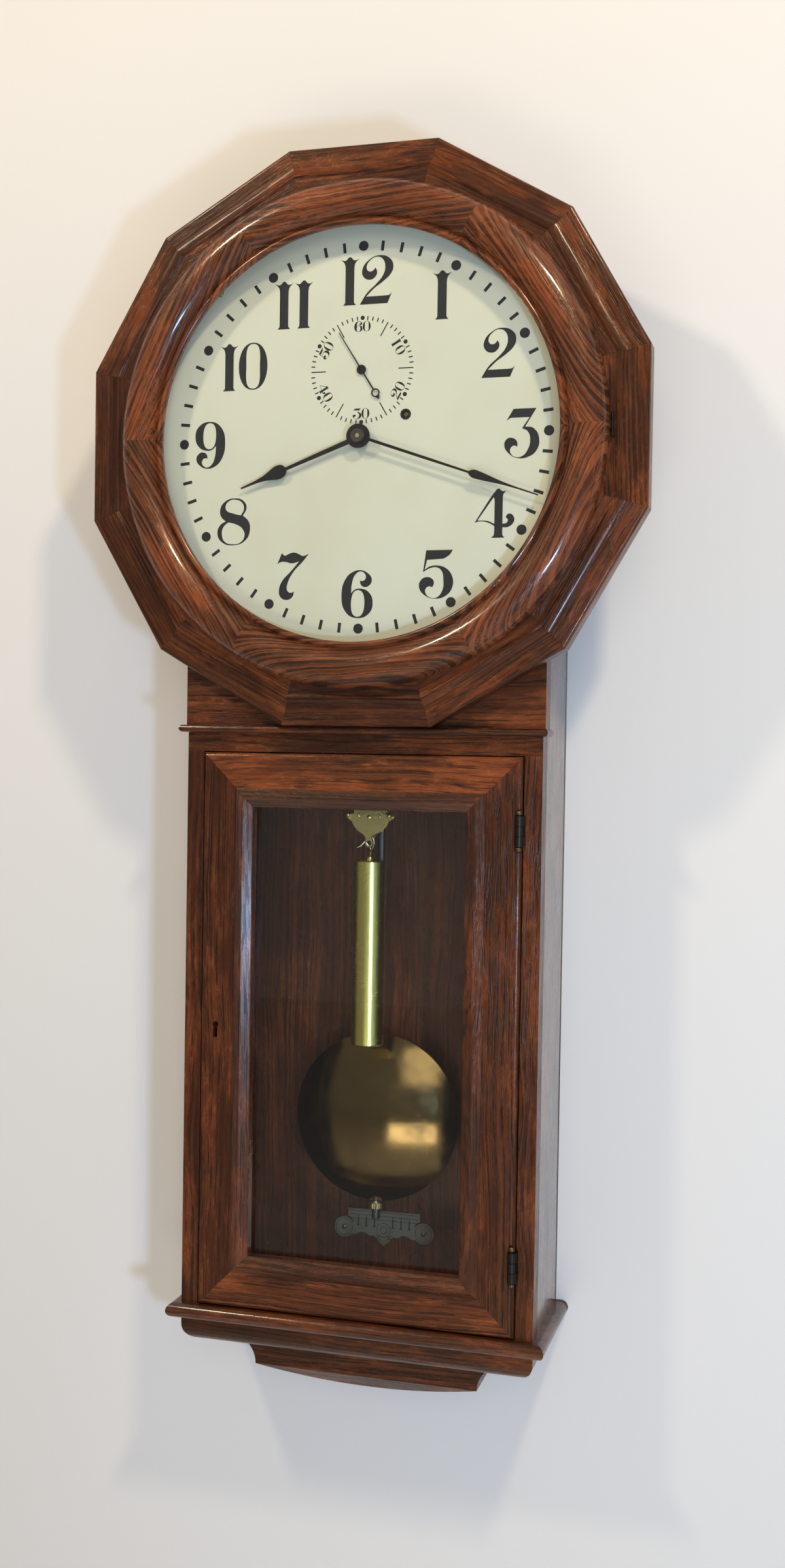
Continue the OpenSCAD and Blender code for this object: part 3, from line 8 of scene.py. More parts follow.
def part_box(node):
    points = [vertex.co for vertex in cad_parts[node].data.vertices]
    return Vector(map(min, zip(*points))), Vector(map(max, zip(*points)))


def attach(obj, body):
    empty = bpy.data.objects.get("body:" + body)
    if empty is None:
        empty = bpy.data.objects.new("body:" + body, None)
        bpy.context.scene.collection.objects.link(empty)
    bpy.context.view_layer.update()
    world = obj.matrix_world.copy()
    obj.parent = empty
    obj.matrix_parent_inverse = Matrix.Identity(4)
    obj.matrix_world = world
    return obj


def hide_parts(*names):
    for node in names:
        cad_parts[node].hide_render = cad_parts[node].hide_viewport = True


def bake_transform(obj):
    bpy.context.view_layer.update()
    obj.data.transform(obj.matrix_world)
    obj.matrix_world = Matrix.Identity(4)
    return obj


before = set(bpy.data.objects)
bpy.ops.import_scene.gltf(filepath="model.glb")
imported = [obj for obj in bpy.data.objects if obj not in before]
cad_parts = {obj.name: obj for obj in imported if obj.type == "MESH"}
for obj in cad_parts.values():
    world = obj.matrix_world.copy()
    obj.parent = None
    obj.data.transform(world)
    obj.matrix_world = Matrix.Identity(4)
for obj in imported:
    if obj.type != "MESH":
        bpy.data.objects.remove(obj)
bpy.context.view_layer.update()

# The camera stands right of the clock and a little below the dial, where the picture was taken.
# It looks slightly left and down, and leans by less than a degree. It is a plain pinhole lens.
camera_place = Vector((0.32972, -1.16827, -0.33512))
camera_turn = 0.2766
camera_tip = -0.0219
camera_lean = -0.0156
camera_data = bpy.data.cameras.new("camera")
camera_data.sensor_fit = "VERTICAL"
camera_data.sensor_height = 36
camera_data.lens = 36.847
camera = bpy.data.objects.new("camera", camera_data)
camera.matrix_world = Matrix.Translation(camera_place) @ (
    Matrix.Rotation(camera_turn, 4, "Z")
    @ Matrix.Rotation(camera_tip, 4, "X")
    @ Matrix.Rotation(camera_lean, 4, "Y")
    @ Matrix.Rotation(pi / 2, 4, "X")
)
bpy.context.scene.collection.objects.link(camera)
bpy.context.scene.camera = camera
bpy.context.scene.view_settings.view_transform = "Standard"

# The clock hangs on a plain plastered wall, painted cream with a roller, over a pale floor. Seen
# from behind, the wall lets the view through. It is also clear to rays that start within a few
# millimetres of it, so that light reaches the back of the case.
MM = 0.001
WALL_W = 6.0
WALL_TOP = 2.4
FLOOR_Z = -1.5
WALL_GAP = 0.4 * MM
CLEAR_WITHIN = 6 * MM
wall_cream = (0.87, 0.835, 0.805)
floor_grey = (0.70, 0.68, 0.65)


def put(tree, kind, inputs=None, **settings):
    """Adds a shader node. A socket given as an input is linked, anything else is its value."""
    node = tree.nodes.new("ShaderNode" + kind)
    for name, value in settings.items():
        setattr(node, name, value)
    for name, value in (inputs or {}).items():
        if isinstance(value, bpy.types.NodeSocket):
            tree.links.new(value, node.inputs[name])
        elif isinstance(value, (tuple, list)) and len(node.inputs[name].default_value) == 4:
            node.inputs[name].default_value = (*value[:3], 1)
        else:
            node.inputs[name].default_value = value
    return node


def new_material(name):
    """An empty material with its output node."""
    material = bpy.data.materials.new(name)
    material.use_nodes = True
    material.node_tree.nodes.clear()
    return material, material.node_tree, put(material.node_tree, "OutputMaterial")


def number(tree, operation, a, b=0.0):
    """One step of arithmetic on values."""
    return put(tree, "Math", {0: a, 1: b}, operation=operation).outputs[0]


def tint(tree, share, a, b, way="MIX"):
    """Mixes colour b over colour a by a share."""
    node = put(tree, "Mix", {0: share, 6: a, 7: b}, data_type="RGBA", blend_type=way)
    return node.outputs[2]


def noise(tree, vector, scale, detail=2.0, roughness=0.5, distortion=0.0):
    """Cloudy noise; its value lies around one half."""
    node = put(tree, "TexNoise", {"Vector": vector, "Scale": scale, "Detail": detail,
                                  "Roughness": roughness, "Distortion": distortion})
    return node.outputs["Fac"]


def in_mm(tree, place=(0, 0, 0), turn=(0, 0, 0)):
    """The object's own coordinates in millimetres from a place, and turned."""
    where = put(tree, "TexCoord").outputs["Object"]
    at = put(tree, "Mapping", {"Vector": where, "Location": tuple(-c / MM for c in place),
                               "Scale": (1 / MM, 1 / MM, 1 / MM)}).outputs["Vector"]
    return put(tree, "Mapping", {"Vector": at, "Rotation": turn}).outputs["Vector"]


def link_up(name, mesh):
    """Makes a mesh a new object of the scene."""
    piece = bpy.data.objects.new(name, mesh)
    bpy.context.scene.collection.objects.link(piece)
    return piece


def flat_sheet(name, corners, material):
    """A single four-cornered face, behind or below the clock."""
    shape = bmesh.new()
    shape.faces.new([shape.verts.new(c) for c in corners])
    mesh = bpy.data.meshes.new(name)
    shape.to_mesh(mesh)
    shape.free()
    mesh.materials.append(material)
    return link_up(name, mesh)


wall_paint, tree, out = new_material("wall_paint")
at = in_mm(tree)
roller = noise(tree, at, 0.35, 3)
plaster = put(tree, "Bump", {"Height": roller, "Strength": 0.04, "Distance": 1 * MM})
wall_shade = tuple(0.97 * c for c in wall_cream)
shader = put(tree, "BsdfPrincipled", {
    "Base Color": tint(tree, noise(tree, at, 0.0012), wall_cream, wall_shade),
    "Roughness": 0.85, "Normal": plaster.outputs["Normal"]})
clear = put(tree, "BsdfTransparent")
seen_from_behind = put(tree, "NewGeometry").outputs["Backfacing"]
ray_length = put(tree, "LightPath").outputs["Ray Length"]
open_here = number(tree, "MAXIMUM", seen_from_behind,
                   number(tree, "LESS_THAN", ray_length, CLEAR_WITHIN))
both = put(tree, "MixShader", {0: open_here, 1: shader.outputs[0], 2: clear.outputs[0]})
tree.links.new(both.outputs[0], out.inputs["Surface"])
wall = flat_sheet("wall", [(-WALL_W / 2, WALL_GAP, FLOOR_Z), (WALL_W / 2, WALL_GAP, FLOOR_Z),
                           (WALL_W / 2, WALL_GAP, WALL_TOP), (-WALL_W / 2, WALL_GAP, WALL_TOP)],
                  wall_paint)

floor_paint, tree, out = new_material("floor_paint")
floor_shade = tuple(0.96 * c for c in floor_grey)
shader = put(tree, "BsdfPrincipled", {
    "Base Color": tint(tree, noise(tree, in_mm(tree), 0.004), floor_grey, floor_shade),
    "Roughness": 0.7})
tree.links.new(shader.outputs[0], out.inputs["Surface"])
floor = flat_sheet("floor", [(-WALL_W, -WALL_W, FLOOR_Z), (WALL_W, -WALL_W, FLOOR_Z),
                             (WALL_W, WALL_W, FLOOR_Z), (-WALL_W, WALL_W, FLOOR_Z)], floor_paint)

# Studio lamps: two small warm ones above, right and left, a small cool one low on the right, and
# two broad soft ones in front, which varnish, brass and glass don't mirror. The small ones cast
# the clock's overlapping shadows on the wall. Each has a place, a size, a power and a colour.
BROAD_LAMP = 0.5
WORLD_LEVEL = 0.2
lamp_target = Vector((0, 0, -0.3))
world_white = (1.0, 0.97, 0.92)
lamp_list = [
    ("lamp_upper_right", (0.645, -1.000, 0.860), (0.12, 0.12), 9.5, (1.0, 0.86, 0.62)),
    ("lamp_upper_left", (-0.745, -1.030, 0.720), (0.12, 0.12), 7.2, (1.0, 0.87, 0.66)),
    ("lamp_low_right", (0.80, -1.33, -0.63), (0.09, 0.12), 8.5, (0.38, 0.64, 1.0)),
    ("lamp_front", (0.7, -2.9, 0.5), (1.2, 1.2), 11, (1.0, 0.97, 0.92)),
    ("lamp_floor", (0.3, -1.9, -1.3), (1.0, 0.4), 6.5, (1.0, 0.94, 0.87)),
]
for name, place, size, power, colour in lamp_list:
    light = bpy.data.lights.new(name, "AREA")
    light.shape = "RECTANGLE"
    light.size, light.size_y = size
    light.energy = power
    light.color = colour
    lamp = bpy.data.objects.new(name, light)
    lamp.location = place
    lamp.visible_glossy = max(size) < BROAD_LAMP
    lamp.rotation_euler = (lamp_target - Vector(place)).to_track_quat("-Z", "Y").to_euler()
    bpy.context.scene.collection.objects.link(lamp)

surround = bpy.data.worlds.new("surround")
bpy.context.scene.world = surround
surround.use_nodes = True
tree = surround.node_tree
tree.nodes.clear()
fill = put(tree, "Background", {"Color": world_white, "Strength": WORLD_LEVEL})
tree.links.new(fill.outputs[0], put(tree, "OutputWorld").inputs["Surface"])

# The case is quarter-sawn oak, stained dark red-brown and varnished. The wood has growth
# bands, open pores along the grain, paler flecks across it and warm patches in the stain.
oak_dark = (0.040, 0.0105, 0.0042)
oak_mid = (0.092, 0.0265, 0.0100)
oak_warm = (0.180, 0.0420, 0.0120)
oak_fleck = (0.220, 0.0640, 0.0200)
oak_pore = (0.0100, 0.0035, 0.0020)
varnish_sheen = (1.0, 0.80, 0.66)


def group_of(name, inputs, outputs):
    """A new shader node group with named sockets, and its two end nodes."""
    group = bpy.data.node_groups.new(name, "ShaderNodeTree")
    for socket, kind, value in inputs:
        made = group.interface.new_socket(socket, in_out="INPUT", socket_type="NodeSocket" + kind)
        if value is not None:
            made.default_value = value
    for socket, kind in outputs:
        group.interface.new_socket(socket, in_out="OUTPUT", socket_type="NodeSocket" + kind)
    start = group.nodes.new("NodeGroupInput")
    end = group.nodes.new("NodeGroupOutput")
    return group, start.outputs, end.inputs


def stretched(tree, vector, stretch, turn=(0, 0, 0)):
    """A vector turned, then stretched along its axes."""
    node = put(tree, "Mapping", {"Vector": vector, "Rotation": turn, "Scale": stretch})
    return node.outputs["Vector"]


def vectors(tree, operation, a, b):
    """One step of arithmetic on vectors."""
    return put(tree, "VectorMath", {0: a, 1: b}, operation=operation).outputs[0]


def distance(tree, vector):
    """The length of a vector."""
    return put(tree, "VectorMath", {0: vector}, operation="LENGTH").outputs["Value"]


def spread(tree, value, low, high, out_low=0.0, out_high=1.0):
    """Stretches part of a value's range to a new range, with soft ends."""
    node = put(tree, "MapRange", {"Value": value, "From Min": low, "From Max": high,
                                  "To Min": out_low, "To Max": out_high},
               interpolation_type="SMOOTHSTEP")
    return node.outputs["Result"]


# Wood grain along X, in millimetres. Pith is the way to the middle of the tree: far off to the
# side it gives straight quarter-sawn lines, and near behind the face it gives arched loops.
# Warmth brings out the stain's warm patches, and Figure the pale and dark lines of the bands.
oak_grain, given, result = group_of(
    "oak_grain",
    [("Vector", "Vector", None), ("Pith", "Vector", (0, 160, 30)), ("Warmth", "Float", 1.0),
     ("Figure", "Float", 0.1)],
    [("Color", "Color"), ("Roughness", "Float"), ("Height", "Float")])
tree = oak_grain
drift = put(tree, "TexNoise", {"Vector": stretched(tree, given["Vector"], (0.006, 0.018, 0.018)),
                               "Scale": 1.0, "Detail": 3.0}).outputs["Color"]
drift = vectors(tree, "ADD", drift, (-0.5, -0.5, -0.5))
drift = vectors(tree, "MULTIPLY", drift, (0, 14, 14))
bent = vectors(tree, "ADD", given["Vector"], drift)
from_pith = vectors(tree, "ADD", bent, given["Pith"])
ring_no = distance(tree, vectors(tree, "MULTIPLY", from_pith, (0, 1, 1)))
bands = put(tree, "TexNoise", {"W": ring_no, "Scale": 0.42, "Detail": 2.0, "Roughness": 0.7},
            noise_dimensions="1D").outputs["Fac"]
bands = spread(tree, bands, 0.40, 0.60)
patches = noise(tree, stretched(tree, given["Vector"], (0.012, 0.045, 0.045)), 1.0, 3, 0.6)
patches = number(tree, "MULTIPLY", spread(tree, patches, 0.44, 0.60), given["Warmth"])
shade = noise(tree, stretched(tree, bent, (0.010, 0.060, 0.060)), 1.0, 4, 0.65)
shade = spread(tree, shade, 0.56, 0.40, 0.0, 0.75)
fleck_field = stretched(tree, bent, (0.14, 0.42, 0.42), (0, 0.25, 0.25))
flecks = spread(tree, noise(tree, fleck_field, 1.0, 3, 0.62, 0.6), 0.50, 0.60)
flecks = number(tree, "MULTIPLY", flecks, spread(tree, patches, 0.0, 0.8, 0.30, 1.0))
pores = noise(tree, stretched(tree, bent, (0.026, 0.80, 0.80)), 1.0, 2, 0.7)
pores = spread(tree, pores, 0.50, 0.60)
pores = number(tree, "MULTIPLY", pores, spread(tree, bands, 0.9, 0.1, 0.45, 1.0))
pale_line = number(tree, "MULTIPLY", bands, given["Figure"])
dark_line = number(tree, "MULTIPLY", number(tree, "SUBTRACT", 1, bands), given["Figure"])
wood = tint(tree, bands, oak_dark, oak_mid)
wood = tint(tree, number(tree, "MULTIPLY", patches, 0.75), wood, oak_warm)
wood = tint(tree, number(tree, "MULTIPLY", flecks, 0.60), wood, oak_fleck)
wood = tint(tree, shade, wood, oak_dark)
wood = tint(tree, number(tree, "MULTIPLY", pale_line, 0.6), wood, oak_fleck)
wood = tint(tree, number(tree, "MULTIPLY", dark_line, 0.7), wood, oak_pore)
wood = tint(tree, number(tree, "MULTIPLY", pores, 0.80), wood, oak_pore)
tree.links.new(wood, result["Color"])
varnish_flow = noise(tree, given["Vector"], 0.045, 2)
rough = number(tree, "ADD", spread(tree, varnish_flow, 0.3, 0.7, 0.24, 0.34),
               number(tree, "MULTIPLY", pores, 0.16))
tree.links.new(rough, result["Roughness"])
relief = number(tree, "SUBTRACT", number(tree, "MULTIPLY", flecks, 0.3), pores)
tree.links.new(relief, result["Height"])


def oak_finish(name, vector_of, pith=(0, 160, 30), warmth=1.0, coat=0.15, relief=0.30, shade=1.0,
               figure=0.10):
    """Varnished oak. vector_of(tree) gives millimetres with X along the grain."""
    material, tree, out = new_material(name)
    grain = put(tree, "Group", node_tree=oak_grain)
    tree.links.new(vector_of(tree), grain.inputs["Vector"])
    grain.inputs["Pith"].default_value = pith
    grain.inputs["Warmth"].default_value = warmth
    grain.inputs["Figure"].default_value = figure
    colour = grain.outputs["Color"]
    if shade != 1.0:
        colour = tint(tree, 1.0, colour, (shade, shade, shade), "MULTIPLY")
    bump = put(tree, "Bump", {"Height": grain.outputs["Height"], "Strength": relief,
                              "Distance": 0.6 * MM})
    shader = put(tree, "BsdfPrincipled", {
        "Base Color": colour, "Roughness": grain.outputs["Roughness"],
        "Normal": bump.outputs["Normal"], "Specular IOR Level": 0.42,
        "Specular Tint": varnish_sheen, "Coat Weight": coat, "Coat Roughness": 0.12})
    tree.links.new(shader.outputs[0], out.inputs["Surface"])
    return material


def wear(node, material):
    """Gives a CAD node a material."""
    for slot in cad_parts[node].material_slots:
        slot.material = material


# Backboard, sides, top board and the ring behind the dial are boards of the same oak, glued up.
# The sides and the top are varnished. The others have a dull dark stain and hardly any shine.
UPRIGHT = (0, pi / 2, 0)


def along_z(place):
    """Grain that runs up and down."""
    return lambda tree: in_mm(tree, place, UPRIGHT)


def along_x(place):
    """Grain that runs from side to side."""
    return lambda tree: in_mm(tree, place)


side_oak = oak_finish("side_oak", along_z((0.4, 0.05, 0.3)), pith=(0, 120, 60), coat=0.9)
wear("side_left", side_oak)
wear("side_right", side_oak)
inside_oak = oak_finish("inside_oak", along_z((0.1, 0.3, 0.2)), pith=(0, 90, 90), warmth=0.2,
                        coat=0.0, relief=0.1, shade=1.15)
wear("backboard", inside_oak)
wear("dial_ring", inside_oak)
wear("top_board", oak_finish("top_board_oak", along_x((0.2, 0.1, 0.1)), shade=0.8))

# The trunk's front frame has two stiles and a top rail. Above it stands the panel behind the
# head, with a waist bead between them. The base is a board with a round nosing, a quarter
# round below it and a shaped drop, all of solid oak with the grain from side to side.
RAIL_GAP = 0.8 * MM
door_opening_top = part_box("door_rails")[1].z + RAIL_GAP


def parted_grain(tree, level_share, upright_place, level_place):
    """Grain that runs up and down, or from side to side where the share is one."""
    upright = in_mm(tree, upright_place, UPRIGHT)
    level = in_mm(tree, level_place)
    node = put(tree, "Mix", {0: level_share, 4: upright, 5: level}, data_type="VECTOR")
    return node.outputs[1]


def place_in(tree):
    """The three coordinates of a place on the object, in metres."""
    return put(tree, "SeparateXYZ", {0: put(tree, "TexCoord").outputs["Object"]}).outputs


def trunk_frame_grain(tree):
    """Up and down on the stiles, side to side on the top rail."""
    in_rail = number(tree, "GREATER_THAN", place_in(tree)["Z"], door_opening_top)
    return parted_grain(tree, in_rail, (0.1, 0.2, 0.5), (0.3, 0.2, 0.1))


wear("trunk_face_frame", oak_finish("trunk_frame_oak", trunk_frame_grain, pith=(0, 90, 120)))
wear("head_panel", oak_finish("head_panel_oak", along_x((0.1, 0.25, 0.15)), pith=(0, 60, 100),
                              shade=1.25))
wear("bead_moulding", oak_finish("bead_oak", along_x((0.5, 0.2, 0.3)), pith=(0, 200, 0), coat=0.4))
wear("base_board", oak_finish("base_oak", along_x((0.2, 0.3, 0.6)), pith=(0, 90, 60), coat=0.6))
wear("base_ovolo", oak_finish("ovolo_oak", along_x((0.7, 0.3, 0.6)), pith=(0, 100, 40)))
wear("base_drop", oak_finish("drop_oak", along_x((0.4, 0.1, 0.2)), pith=(0, 80, 50)))

# The head frame is twelve segments, mitred and glued. Each is cut from its own board, with
# the grain along its length, so the grain turns at every mitre.
DIAL = Vector((0, -0.1, -0.12))
BOARD_STEP = 731


def ring_grain(parts, slope, aside):
    """Grain along each straight part of a ring that is built of equal parts.

    The grain leaves the part's own line by a small slope, in radians. Each part is cut from
    another place in the wood, BOARD_STEP further along and aside by some millimetres.
    """
    def vector_of(tree):
        at = in_mm(tree, (0, 0, DIAL.z))
        xyz = put(tree, "SeparateXYZ", {0: at}).outputs
        bearing = number(tree, "ARCTAN2", xyz["X"], xyz["Z"])
        step = 2 * pi / parts
        part = number(tree, "ROUND", number(tree, "DIVIDE", bearing, step))
        back = number(tree, "MULTIPLY", part, -step)
        turned = put(tree, "VectorRotate", {"Vector": at, "Angle": back},
                     rotation_type="Y_AXIS").outputs[0]
        sloping = put(tree, "Mapping", {"Vector": turned, "Rotation": (0, slope, slope)}).outputs[0]
        board = number(tree, "MODULO", number(tree, "ADD", part, parts), parts)
        away = put(tree, "CombineXYZ", {"X": number(tree, "MULTIPLY", board, BOARD_STEP),
                                        "Z": number(tree, "MULTIPLY", board, aside)}).outputs[0]
        return vectors(tree, "ADD", sloping, away)
    return vector_of


wear("frame_segments", oak_finish("frame_oak", ring_grain(parts=12, slope=0.02, aside=97),
                                  pith=(0, 70, -120), warmth=1.2))

# The movement behind the dial: lacquered brass plates and wheels, steel arbors and pinions,
# a japanned iron bracket. Lathe and file marks show as fine lines in the metal.
tarnish_brown = (0.10, 0.062, 0.025)
metal_marks, given, result = group_of(
    "metal_marks",
    [("Vector", "Vector", None), ("Base", "Color", (0.6, 0.5, 0.3, 1)), ("Tarnish", "Float", 0.3),
     ("Rough", "Float", 0.25)],
    [("Color", "Color"), ("Roughness", "Float"), ("Height", "Float")])
tree = metal_marks
cloud = spread(tree, noise(tree, given["Vector"], 0.06, 4, 0.6), 0.40, 0.72)
spots = spread(tree, noise(tree, given["Vector"], 0.55, 2, 0.5), 0.62, 0.74)
dull = number(tree, "MULTIPLY", number(tree, "MAXIMUM", cloud, spots), given["Tarnish"])
tree.links.new(tint(tree, dull, given["Base"], tarnish_brown), result["Color"])
marks = noise(tree, stretched(tree, given["Vector"], (0.15, 0.15, 6.0)), 1.0, 2)
rough = number(tree, "ADD", given["Rough"], number(tree, "MULTIPLY", dull, 0.35))
rough = number(tree, "ADD", rough, number(tree, "MULTIPLY", marks, 0.06))
tree.links.new(rough, result["Roughness"])
tree.links.new(marks, result["Height"])


def metal_finish(name, base, tarnish=0.3, rough=0.25, relief=0.08, metallic=1.0):
    """Metal with fine tool marks across Z, and a little tarnish."""
    material, tree, out = new_material(name)
    marks = put(tree, "Group", node_tree=metal_marks)
    tree.links.new(in_mm(tree), marks.inputs["Vector"])
    marks.inputs["Base"].default_value = (*base, 1)
    marks.inputs["Tarnish"].default_value = tarnish
    marks.inputs["Rough"].default_value = rough
    bump = put(tree, "Bump", {"Height": marks.outputs["Height"], "Strength": relief,
                              "Distance": 0.2 * MM})
    shader = put(tree, "BsdfPrincipled", {
        "Base Color": marks.outputs["Color"], "Roughness": marks.outputs["Roughness"],
        "Metallic": metallic, "Normal": bump.outputs["Normal"]})
    tree.links.new(shader.outputs[0], out.inputs["Surface"])
    return material


plate_brass = metal_finish("plate_brass", (0.70, 0.52, 0.22), tarnish=0.25, rough=0.28)
turned_steel = metal_finish("turned_steel", (0.46, 0.45, 0.43), tarnish=0.1, rough=0.22)
for node in ("back_plate", "front_plate", "plate_pillars", "suspension_cock", "centre_wheel",
             "great_wheel", "third_wheel", "escape_wheel", "minute_wheel", "hour_wheel",
             "hanger_plate"):
    wear(node, plate_brass)
for node in ("cannon_pinion", "click", "pallets", "crutch", "suspension_spring"):
    wear(node, turned_steel)
wear("winding_drum", metal_finish("drum_brass", (0.16, 0.13, 0.07), tarnish=0.4, rough=0.35))
wear("movement_bracket", metal_finish("japanned_iron", (0.02, 0.02, 0.022), tarnish=0.0,
                                      rough=0.45, relief=0.3, metallic=0.0))
# The screws' brass is coloured dark: some tarnish, and painted shade for the dark inside of the
# case.
wear("wood_screws", metal_finish("screw_brass_painted_shade", (0.24, 0.18, 0.09), tarnish=0.4, rough=0.35))

# The dial is a flat sheet-iron plate, stove-painted cream, with a satin face that has yellowed
# unevenly. The oiled centre arbor has left faint brown stains under the hub.
dial_cream = (0.77, 0.755, 0.60)
dial_yellow = (0.66, 0.61, 0.42)
dial_stain = (0.38, 0.27, 0.15)
stain_places = [(1, -17, 9, 11), (8, 6, 9, 9)]


def spot(tree, at, x, z, wide, high):
    """A soft round mask about a place on the dial, in millimetres."""
    away = put(tree, "Mapping", {"Vector": at, "Location": (-x / wide, 0, -z / high),
                                 "Scale": (1 / wide, 0, 1 / high)}).outputs["Vector"]
    return spread(tree, distance(tree, away), 1.0, 0.2)


dial_paint, tree, out = new_material("dial_paint")
at = in_mm(tree, DIAL)
age = spread(tree, noise(tree, at, 0.012, 3), 0.40, 0.75, 0.0, 0.35)
colour = tint(tree, age, dial_cream, dial_yellow)
speck = spread(tree, noise(tree, at, 0.55, 2), 0.70, 0.78)
near_hub = number(tree, "MAXIMUM", *(spot(tree, at, *place) for place in stain_places))
stained = number(tree, "MULTIPLY", speck, near_hub)
colour = tint(tree, number(tree, "MULTIPLY", stained, 0.8), colour, dial_stain)
bump = put(tree, "Bump", {"Height": noise(tree, at, 1.6, 2), "Strength": 0.05,
                          "Distance": 0.2 * MM})
shader = put(tree, "BsdfPrincipled", {
    "Base Color": colour, "Roughness": spread(tree, noise(tree, at, 0.03, 2), 0.3, 0.7, 0.30, 0.40),
    "Normal": bump.outputs["Normal"]})
tree.links.new(shader.outputs[0], out.inputs["Surface"])
wear("dial_plate", dial_paint)

